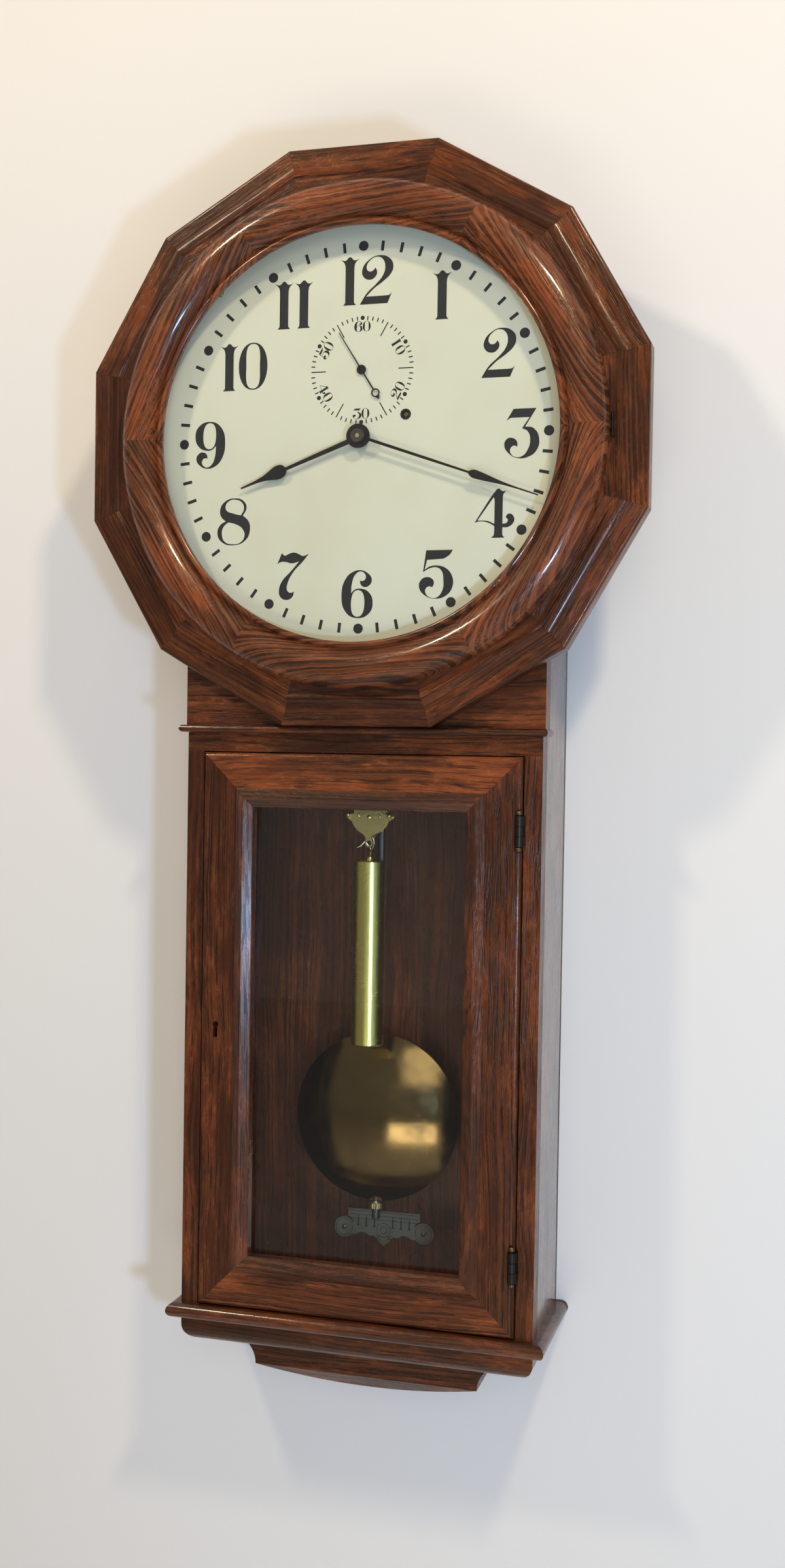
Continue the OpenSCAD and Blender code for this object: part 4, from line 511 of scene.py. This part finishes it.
# The figures are printed on the dial in black: fat upright figures with hairline joins and
# round ends. Each outline is one unit high, about its own middle line. A third number marks
# a sharp corner; the other points are rounded.
PRINT = 0.03 * MM
figure_outlines = {
    "0": [[(0, 1.0), (0.325, 0.5), (0, 0), (-0.325, 0.5)],
          [(0, 0.975), (-0.153, 0.5), (0, 0.025), (0.153, 0.5)]],
    "1": [[(-0.135, 0, 1), (0.135, 0, 1), (0.135, 0.012, 1), (0.104, 0.045), (0.096, 0.13, 1),
           (0.096, 0.78, 1), (0.118, 0.87), (0.20, 0.955, 1), (0.10, 0.93), (0, 1.0),
           (-0.10, 0.93), (-0.20, 0.955, 1), (-0.118, 0.87), (-0.096, 0.78, 1),
           (-0.096, 0.13, 1), (-0.104, 0.045), (-0.135, 0.012, 1)]],
    "2": [[(-0.355, 0, 1), (0.246, 0, 1), (0.34, 0.222, 1), (0.285, 0.172), (0.20, 0.162, 1),
           (-0.217, 0.16, 1), (-0.043, 0.325), (0.145, 0.455), (0.32, 0.62), (0.362, 0.755),
           (0.305, 0.905), (0.07, 1.0), (-0.17, 0.915), (-0.305, 0.735), (-0.29, 0.585),
           (-0.154, 0.505), (-0.03, 0.555), (0.014, 0.66), (-0.023, 0.752, 1), (-0.087, 0.685),
           (-0.172, 0.685), (-0.215, 0.765), (-0.14, 0.905), (0.014, 0.972), (0.13, 0.92),
           (0.188, 0.765), (0.145, 0.59), (0.014, 0.43), (-0.20, 0.235)]],
    "3": [[(-0.187, 1.0, 1), (0.285, 1.0, 1), (0.059, 0.632, 1), (0.227, 0.60), (0.352, 0.372),
           (0.293, 0.135), (0.133, 0.02), (-0.08, -0.003), (-0.28, 0.105), (-0.368, 0.27),
           (-0.32, 0.39), (-0.213, 0.415), (-0.107, 0.34), (-0.099, 0.225, 1), (-0.16, 0.255),
           (-0.238, 0.20), (-0.235, 0.105), (-0.133, 0.025), (0, 0.035), (0.12, 0.17),
           (0.165, 0.385), (0.107, 0.54), (-0.005, 0.60, 1), (0.147, 0.82, 1), (-0.24, 0.82, 1),
           (-0.328, 0.765, 1)]],
    "4": [[(-0.14, 0, 1), (0.125, 0, 1), (0.125, 0.012, 1), (0.093, 0.045), (0.085, 0.12, 1),
           (0.085, 0.211, 1), (0.197, 0.215), (0.31, 0.30), (0.324, 0.408), (0.225, 0.487),
           (0.155, 0.42), (0.197, 0.36), (0.165, 0.30), (0.085, 0.285, 1), (0.085, 0.82, 1),
           (0.10, 0.89), (0.165, 0.955, 1), (0.08, 0.945), (-0.01, 1.0), (-0.07, 0.95),
           (-0.5, 0.315, 1), (-0.37, 0.342), (-0.20, 0.305), (-0.085, 0.24, 1),
           (-0.085, 0.12, 1), (-0.10, 0.045), (-0.14, 0.012, 1)],
          [(-0.104, 0.83, 1), (-0.085, 0.77, 1), (-0.085, 0.285, 1), (-0.22, 0.345),
           (-0.437, 0.36, 1)]],
    "5": [[(-0.221, 1.0, 1), (0.345, 1.0, 1), (0.276, 0.90), (0.152, 0.82, 1), (-0.20, 0.80, 1),
           (-0.249, 0.60, 1), (-0.138, 0.665), (0.028, 0.682), (0.221, 0.613), (0.345, 0.434),
           (0.345, 0.24), (0.221, 0.065), (-0.028, 0), (-0.249, 0.075), (-0.365, 0.24),
           (-0.335, 0.375), (-0.221, 0.445), (-0.083, 0.406), (-0.047, 0.323),
           (-0.083, 0.235, 1), (-0.152, 0.254), (-0.227, 0.195), (-0.207, 0.088),
           (-0.097, 0.016), (0.028, 0.033), (0.138, 0.185), (0.152, 0.378), (0.11, 0.572),
           (0, 0.645), (-0.138, 0.627), (-0.285, 0.55, 1)]],
    "6": [[(0.059, 1.0), (0.22, 0.94), (0.315, 0.798), (0.255, 0.675), (0.153, 0.648),
           (0.075, 0.70), (0.059, 0.785, 1), (0.126, 0.775), (0.185, 0.852), (0.145, 0.941),
           (0.059, 0.972), (-0.048, 0.905), (-0.116, 0.731), (-0.134, 0.52, 1), (-0.048, 0.597),
           (0.073, 0.615), (0.25, 0.54), (0.341, 0.328), (0.262, 0.095), (0.005, 0),
           (-0.237, 0.113), (-0.344, 0.489), (-0.245, 0.84), (-0.09, 0.97)],
          [(0.019, 0.585), (0.161, 0.32), (0.005, 0.027), (-0.134, 0.32)]],
    "7": [[(-0.228, 0.995, 1), (-0.165, 0.937), (-0.076, 0.97), (0.038, 1.0), (0.14, 0.97),
           (0.241, 0.924), (0.376, 0.97, 1), (0.254, 0.82), (0.025, 0.575), (-0.089, 0.36),
           (-0.102, 0.208), (-0.038, 0.152), (0.056, 0.175, 1), (0.013, 0.056), (-0.127, 0),
           (-0.254, 0.069), (-0.284, 0.208), (-0.216, 0.398), (-0.025, 0.60), (0.16, 0.81, 1),
           (0, 0.772), (-0.152, 0.805), (-0.254, 0.80), (-0.33, 0.754, 1)]],
    "8": [[(0.037, 1.0), (0.223, 0.937), (0.289, 0.794), (0.209, 0.629, 1), (0.337, 0.509),
           (0.374, 0.337), (0.28, 0.109), (-0.006, 0), (-0.277, 0.08), (-0.371, 0.266),
           (-0.306, 0.437), (-0.183, 0.514, 1), (-0.285, 0.609), (-0.314, 0.751),
           (-0.22, 0.923)],
          [(0.03, 0.972), (-0.10, 0.95), (-0.187, 0.85), (-0.171, 0.75), (-0.02, 0.68),
           (0.16, 0.634, 1), (0.229, 0.76), (0.19, 0.90)],
          [(-0.126, 0.491, 1), (0.051, 0.447), (0.209, 0.337), (0.25, 0.194), (0.16, 0.06),
           (-0.006, 0.023), (-0.20, 0.08), (-0.269, 0.245), (-0.234, 0.394)]],
}
figure_outlines["9"] = [[(-p[0], 1 - p[1], *p[2:]) for p in line] for line in figure_outlines["6"]]


def figure_mesh(figure):
    """One printed figure, as a thin flat mesh with its middle at the origin."""
    outline = bpy.data.curves.new("figure_" + figure, "CURVE")
    outline.dimensions = "2D"
    outline.fill_mode = "BOTH"
    outline.resolution_u = 8
    outline.extrude = PRINT
    for line in figure_outlines[figure]:
        spline = outline.splines.new("BEZIER")
        spline.bezier_points.add(len(line) - 1)
        spline.use_cyclic_u = True
        for point, place in zip(spline.bezier_points, line):
            point.co = (place[0], place[1] - 0.5, 0)
            kind = "VECTOR" if len(place) > 2 else "AUTO"
            point.handle_left_type = point.handle_right_type = kind
    holder = link_up(outline.name, outline)
    bpy.context.view_layer.update()
    mesh = bpy.data.meshes.new_from_object(holder)
    bpy.data.objects.remove(holder)
    bpy.data.curves.remove(outline)
    return mesh


figure_meshes = {figure: figure_mesh(figure) for figure in "0123456789"}


def on_dial(x, z, height, turn=0.0, wide=1.0):
    """Puts a flat drawing one unit high on the dial, its middle x and z millimetres from it."""
    return (Matrix.Translation(DIAL + Vector((x * MM, -PRINT, z * MM)))
            @ Matrix.Rotation(-turn, 4, "Y") @ Matrix.Rotation(pi / 2, 4, "X")
            @ Matrix.Diagonal((wide * height * MM, height * MM, 1, 1)))


def print_figure(shape, figure, x, z, height, turn=0.0, wide=1.0):
    """Adds one printed figure to a bmesh."""
    mesh = figure_meshes[figure].copy()
    mesh.transform(on_dial(x, z, height, turn, wide))
    shape.from_mesh(mesh)
    bpy.data.meshes.remove(mesh)


SAME_PLACE = 0.0001 * MM


def finished(name, shape, material, smooth=False):
    """Turns a bmesh into a finished object at the origin."""
    bmesh.ops.remove_doubles(shape, verts=shape.verts, dist=SAME_PLACE)
    bmesh.ops.recalc_face_normals(shape, faces=shape.faces)
    for face in shape.faces:
        face.smooth = smooth
    mesh = bpy.data.meshes.new(name)
    shape.to_mesh(mesh)
    shape.free()
    mesh.materials.append(material)
    return link_up(name, mesh)


ink_full = (0.010, 0.010, 0.012)
ink_worn = (0.024, 0.023, 0.023)
black_print, tree, out = new_material("black_print")
at = in_mm(tree)
worn = spread(tree, noise(tree, at, 0.8, 3), 0.35, 0.8, 0, 0.5)
shader = put(tree, "BsdfPrincipled", {
    "Base Color": tint(tree, worn, ink_full, ink_worn),
    "Roughness": spread(tree, noise(tree, at, 0.2), 0.3, 0.7, 0.55, 0.7),
    "Specular IOR Level": 0.2})
tree.links.new(shader.outputs[0], out.inputs["Surface"])

FIGURE_H = 33.2
hour_figure_places = [
    ("1", -9.7, 108.3), ("2", 9.5, 108.3), ("1", 56.5, 95.0), ("2", 96.5, 53.7),
    ("3", 113.7, -1.2), ("4", 98.3, -54.5), ("5", 55.5, -95.2), ("6", -1.0, -108.1),
    ("7", -49.3, -95.0), ("8", -93.5, -55.9), ("9", -112.2, -1.1), ("1", -98.3, 53.2),
    ("0", -80.4, 53.3), ("1", -57.8, 94.5), ("1", -43.1, 94.5),
]
shape = bmesh.new()
for figure, x, z in hour_figure_places:
    print_figure(shape, figure, x, z, FIGURE_H)
hour_print = finished("hour_figures", shape, black_print)
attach(hour_print, "case")

# The minute track is printed with the same black ink, in a ring just inside the bezel: a dot at
# each hour and four short bars between two dots.
TRACK_R = 132
DOT_R = 3.5
DOT_SIDES = 28
BAR_L = 6.9
BAR_W = 2.2


def print_dot(shape, x, z, radius):
    """A printed round dot."""
    made = bmesh.ops.create_circle(shape, cap_ends=True, segments=DOT_SIDES, radius=radius * MM,
                                   matrix=on_dial(x, z, 1 / MM))
    raised = bmesh.ops.extrude_face_region(shape, geom=made["verts"][0].link_faces[:])
    bmesh.ops.translate(shape, vec=(0, -PRINT, 0),
                        verts=[v for v in raised["geom"] if isinstance(v, bmesh.types.BMVert)])


def print_bar(shape, radius, angle, length, width):
    """A printed bar that points at the dial's middle, radius millimetres from it."""
    bmesh.ops.create_cube(shape, size=1, matrix=(
        Matrix.Translation(DIAL + Vector((0, -PRINT, 0))) @ Matrix.Rotation(angle, 4, "Y")
        @ Matrix.Translation((0, 0, radius * MM))
        @ Matrix.Diagonal((width * MM, 2 * PRINT, length * MM, 1))))


shape = bmesh.new()
for minute in range(60):
    angle = radians(6 * minute)
    if minute % 5:
        print_bar(shape, TRACK_R, angle, BAR_L, BAR_W)
    else:
        print_dot(shape, TRACK_R * sin(angle), TRACK_R * cos(angle), DOT_R)
minute_track = finished("minute_track", shape, black_print)
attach(minute_track, "case")

# The small seconds ring above the centre: thin strokes at the seconds, long ones at the fives,
# dots at the tens, with figures that read from the nearer side. It is printed about the dial's
# middle here and then raised to its own place.
SECOND_R = 35.7
SECOND_Z = 46.7
SECOND_L = 2.8
SECOND_W = 0.8
FIVE_R = 31.6
FIVE_L = 10.6
FIVE_W = 0.75
TEN_R = SECOND_R + 0.2
TEN_DOT_R = 1.5
SECOND_FIGURE_R = 30.0
SECOND_FIGURE_H = 7.2
SECOND_FIGURE_WIDE = 1.22
SECOND_FIGURE_APART = 3.0
shape = bmesh.new()
for second in range(60):
    angle = radians(6 * second)
    if second % 5:
        print_bar(shape, SECOND_R, angle, SECOND_L, SECOND_W)
    elif second % 10:
        print_bar(shape, FIVE_R, angle, FIVE_L, FIVE_W)
    else:
        print_dot(shape, TEN_R * sin(angle), TEN_R * cos(angle), TEN_DOT_R)
        read_from_below = 15 < second < 45
        turn = pi - angle if read_from_below else -angle
        tens = str(second // 10) if second else "6"
        for figure, along in ((tens, -SECOND_FIGURE_APART), ("0", SECOND_FIGURE_APART)):
            x = SECOND_FIGURE_R * sin(angle) + along * cos(turn)
            z = SECOND_FIGURE_R * cos(angle) + along * sin(turn)
            print_figure(shape, figure, x, z, SECOND_FIGURE_H, turn, SECOND_FIGURE_WIDE)
bmesh.ops.translate(shape, vec=(0, 0, SECOND_Z * MM), verts=shape.verts)
seconds_track = finished("seconds_track", shape, black_print)
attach(seconds_track, "case")

# The hands are pressed from thin steel and blacked. A steel nut holds the minute hand, and a
# dark grommet lines the winding hole.
hand_black = metal_finish("hand_black", (0.030, 0.029, 0.032), tarnish=0.15, rough=0.30,
                          relief=0.15)
wear("hour_hand", hand_black)
wear("minute_hand", hand_black)
wear("seconds_hand", hand_black)
wear("hand_nut", metal_finish("nut_steel", (0.16, 0.155, 0.14), tarnish=0.3, rough=0.2))
wear("winding_grommet", metal_finish("dark_grommet", (0.020, 0.019, 0.018), tarnish=0.2, rough=0.4))

# The bezel is a ring turned in the lathe from six glued lengths, swelling to a broad round,
# with a fine lip where the glass sits. It hangs on a slim black hinge at its right side.
hinge_black = metal_finish("hinge_black", (0.055, 0.048, 0.040), tarnish=0.2, rough=0.40,
                           relief=0.2)
wear("bezel_ring", oak_finish("bezel_oak", ring_grain(parts=6, slope=0.05, aside=9),
                              pith=(0, 85, -85), warmth=1.3, coat=0.5, shade=1.5, figure=0.55))
wear("bezel_hinge_fixed", hinge_black)
wear("bezel_hinge_moving", hinge_black)

# Clear glass in the bezel and the door, set in from behind. Shadow rays and diffuse rays go
# straight through it as through a clear film, so that the lamps light what lies behind.
clear_glass, tree, out = new_material("clear_glass")
shader = put(tree, "BsdfPrincipled", {"Base Color": (0.97, 0.985, 0.98), "Roughness": 0.0,
                                      "Transmission Weight": 1.0, "IOR": 1.5})
clear = put(tree, "BsdfTransparent", {"Color": (0.95, 0.96, 0.955)})
path = put(tree, "LightPath")
to_light = number(tree, "MAXIMUM", path.outputs["Is Shadow Ray"], path.outputs["Is Diffuse Ray"])
both = put(tree, "MixShader", {0: to_light, 1: shader.outputs[0], 2: clear.outputs[0]})
tree.links.new(both.outputs[0], out.inputs["Surface"])
wear("bezel_glass", clear_glass)
wear("door_glass", clear_glass)

# The weight is a drawn brass tube, polished and lacquered. It hangs on a wire hook under a
# pulley, whose sheave runs between two brass shield plates.
wear("weight", metal_finish("weight_brass", (0.74, 0.64, 0.17), tarnish=0.10, rough=0.21,
                            relief=0.03))
wear("weight_hook", metal_finish("hook_wire", (0.50, 0.46, 0.33), tarnish=0.15, rough=0.22))
pulley_brass = metal_finish("pulley_brass", (0.58, 0.47, 0.17), tarnish=0.30, rough=0.30)
wear("pulley_plates", pulley_brass)
wear("pulley_sheave", pulley_brass)

# Two small rivets and two larger studs join the pulley's plates near their upper corners. Each
# is a ball set into the brass: its way across, its way down, how deep it sits, its radius and
# the number of its sides.
low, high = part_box("pulley_plates")
PULLEY_TOP = high.z
PULLEY_FACE = low.y
rivet_places = [(-7.4, 4.4, 0, 1.0, 16), (7.4, 4.4, 0, 0.9, 16),
                (-15.4, 4.6, 0.9, 1.7, 20), (15.4, 4.6, 0.9, 1.7, 20)]
shape = bmesh.new()
for across, down, deep, radius, sides in rivet_places:
    place = Vector((across * MM, PULLEY_FACE + deep * MM, PULLEY_TOP - down * MM))
    bmesh.ops.create_uvsphere(shape, u_segments=sides, v_segments=sides // 2 + 2,
                              radius=radius * MM, matrix=Matrix.Translation(place))
rivets = finished("pulley_rivets", shape, pulley_brass, smooth=True)
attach(rivets, "driving_weight")

# A line is engraved across the front plate between the small rivets and filled with black. It
# rises in the middle. Its points give the way across and the way down from the plate's top.
ENGRAVED_W = 0.5
ENGRAVED_T = 0.06
ENGRAVED_LAP = 0.3
engraved_points = [(-6.3, 4.6), (-4.2, 4.3), (-2.5, 2.9), (-0.9, 1.9), (0.9, 1.9), (2.5, 2.9),
                   (4.2, 4.3), (6.3, 4.6)]
shape = bmesh.new()
for (x0, down0), (x1, down1) in zip(engraved_points, engraved_points[1:]):
    middle = Vector(((x0 + x1) / 2 * MM, PULLEY_FACE, PULLEY_TOP - (down0 + down1) / 2 * MM))
    along = Vector(((x1 - x0) * MM, 0, (down0 - down1) * MM))
    bmesh.ops.create_cube(shape, size=1, matrix=(
        Matrix.Translation(middle) @ along.to_track_quat("X", "Y").to_matrix().to_4x4()
        @ Matrix.Diagonal((along.length + ENGRAVED_LAP * MM, ENGRAVED_T * MM, ENGRAVED_W * MM, 1))))
engraved = finished("pulley_engraving", shape, black_print)
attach(engraved, "driving_weight")

# The gut line is twisted and a little glossy. It runs down from its anchor, half round the
# sheave and up to the drum. Its two falls are copied from the CAD line into a piece of their
# own, and the CAD line is hidden.
TWIST = 0.7
gut_brown = (0.20, 0.14, 0.07)
gut_pale = (0.42, 0.33, 0.19)
gut, tree, out = new_material("gut_line")
ply = put(tree, "TexWave", {"Vector": stretched(tree, in_mm(tree), (1, 1, 1), (0, TWIST, 0)),
                            "Scale": 0.35, "Distortion": 0.5})
shader = put(tree, "BsdfPrincipled", {
    "Base Color": tint(tree, ply.outputs["Fac"], gut_brown, gut_pale), "Roughness": 0.45})
tree.links.new(shader.outputs[0], out.inputs["Surface"])
wear("weight_line", gut)
wear("line_bight", gut)
low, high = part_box("weight_line")
middle = (low + high) / 2
shape = bmesh.new()
shape.from_mesh(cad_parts["weight_line"].data)
falls = finished("gut_falls", shape, gut)
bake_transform(falls)
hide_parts("weight_line")

# The pendulum: a flat-sided rod, a brass lens bob with a narrow rim, and a rating nut. The
# bob is spun thin brass over lead, polished, and a little tarnished. The bob's and the nut's
# brass are coloured far darker than bright brass: painted shade for the dark inside of the case
# that they mirror.
wear("bob", metal_finish("bob_brass_painted_shade", (0.215, 0.145, 0.055), tarnish=0.40, rough=0.09, relief=0.02))
wear("pendulum_rod", metal_finish("rod_steel", (0.07, 0.06, 0.05), tarnish=0.3, rough=0.4))
wear("rating_nut", metal_finish("nut_brass_painted_shade", (0.34, 0.26, 0.12), tarnish=0.4, rough=0.25))

# The beat scale is a silvered plate, screwed to the backboard below the bob. Its silver is
# coloured dull and dark: partly tarnish, partly painted shade for the dark inside of the case.
# It is marked in black with three ruled lines, upright and slanting strokes and four rings.
wear("beat_scale", metal_finish("silvered_plate_painted_shade", (0.23, 0.215, 0.155), tarnish=0.30, rough=0.50,
                                relief=0.1))
MARKS_DOWN = 14.5
RULE_L = 54
RULE_W = 0.35
RING_PARTS = 28
RING_PART_L = 0.26
SLANT = 0.72
SLANT_X = 4.3
SLANT_Z = -5.6
SLANT_W = 0.4
SLANT_L = 5.2
rule_heights = (7.4, 10.4, 13.2)
stroke_places = (7.2, 13.6, 20.0)
stroke_sizes = [(5.2, 0.9, 6.5), (8.9, 0.45, 2.8), (2.2, 2.4, 0.6)]
scale_rings = [(-31, 6.4), (31, 6.4), (0, 5.2), (0, 2.6)]
low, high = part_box("beat_scale")
SCALE_FACE = low.y
SCALE_Z = high.z - MARKS_DOWN * MM


def scale_line(shape, x, z, wide, high, turn=0.0):
    """An inked line on the beat scale."""
    bmesh.ops.create_cube(shape, size=1, matrix=(
        Matrix.Translation((x * MM, SCALE_FACE, SCALE_Z + z * MM)) @ Matrix.Rotation(turn, 4, "Y")
        @ Matrix.Diagonal((wide * MM, 2 * PRINT, high * MM, 1))))


shape = bmesh.new()
for z in rule_heights:
    scale_line(shape, 0, z, RULE_L, RULE_W)
for side in (-1, 1):
    for x in stroke_places:
        for z, wide, tall in stroke_sizes:
            scale_line(shape, side * x, z, wide, tall)
    for turn in (-SLANT, SLANT):
        scale_line(shape, side * SLANT_X, SLANT_Z, SLANT_W, SLANT_L, side * turn)
for x, radius in scale_rings:
    for part in range(RING_PARTS):
        angle = 2 * pi * part / RING_PARTS
        scale_line(shape, x + radius * sin(angle), radius * cos(angle), radius * RING_PART_L,
                   RULE_W, angle)
scale_lines = finished("scale_lines", shape, black_print)
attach(scale_lines, "case")

# The door: two stiles, two rails and a raised moulding round the glass, all mitred, hung on two
# bronzed butt hinges with ball tips. A small iron lock with a brass bolt sits in its left stile.
wear("door_stiles", oak_finish("stile_oak", along_z((0.35, 0.1, 0.8)), pith=(0, 140, 20),
                               warmth=0.8, figure=0.12))
wear("door_rails", oak_finish("rail_oak", along_x((0.25, 0.3, 0.9)), pith=(0, 150, 25),
                              warmth=1.9, shade=1.5, figure=0.22))
low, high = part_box("door_stiles")
DOOR_HALF_W = high.x
DOOR_HALF_H = (high.z - low.z) / 2
DOOR_MID_Z = (high.z + low.z) / 2


def mitred_grain(tree):
    """Up and down near the sides, side to side near the top and foot, parted on the mitres."""
    at = place_in(tree)
    to_side = number(tree, "SUBTRACT", DOOR_HALF_W, number(tree, "ABSOLUTE", at["X"]))
    from_middle = number(tree, "ABSOLUTE", number(tree, "SUBTRACT", at["Z"], DOOR_MID_Z))
    to_end = number(tree, "SUBTRACT", DOOR_HALF_H, from_middle)
    level_share = number(tree, "GREATER_THAN", to_side, to_end)
    return parted_grain(tree, level_share, (0.1, 0.2, 0.35), (0.6, 0.2, 0.1))


wear("door_moulding", oak_finish("moulding_oak", mitred_grain, pith=(0, 200, 40), coat=0.9))
wear("hinge_pins", metal_finish("hinge_bronze", (0.22, 0.15, 0.085), tarnish=0.3, rough=0.3,
                                relief=0.2))
wear("case_hinge_leaves", hinge_black)
wear("door_hinge_leaves", hinge_black)
wear("door_lock", metal_finish("lock_iron", (0.025, 0.023, 0.022), tarnish=0.2, rough=0.5))
wear("lock_bolt", plate_brass)
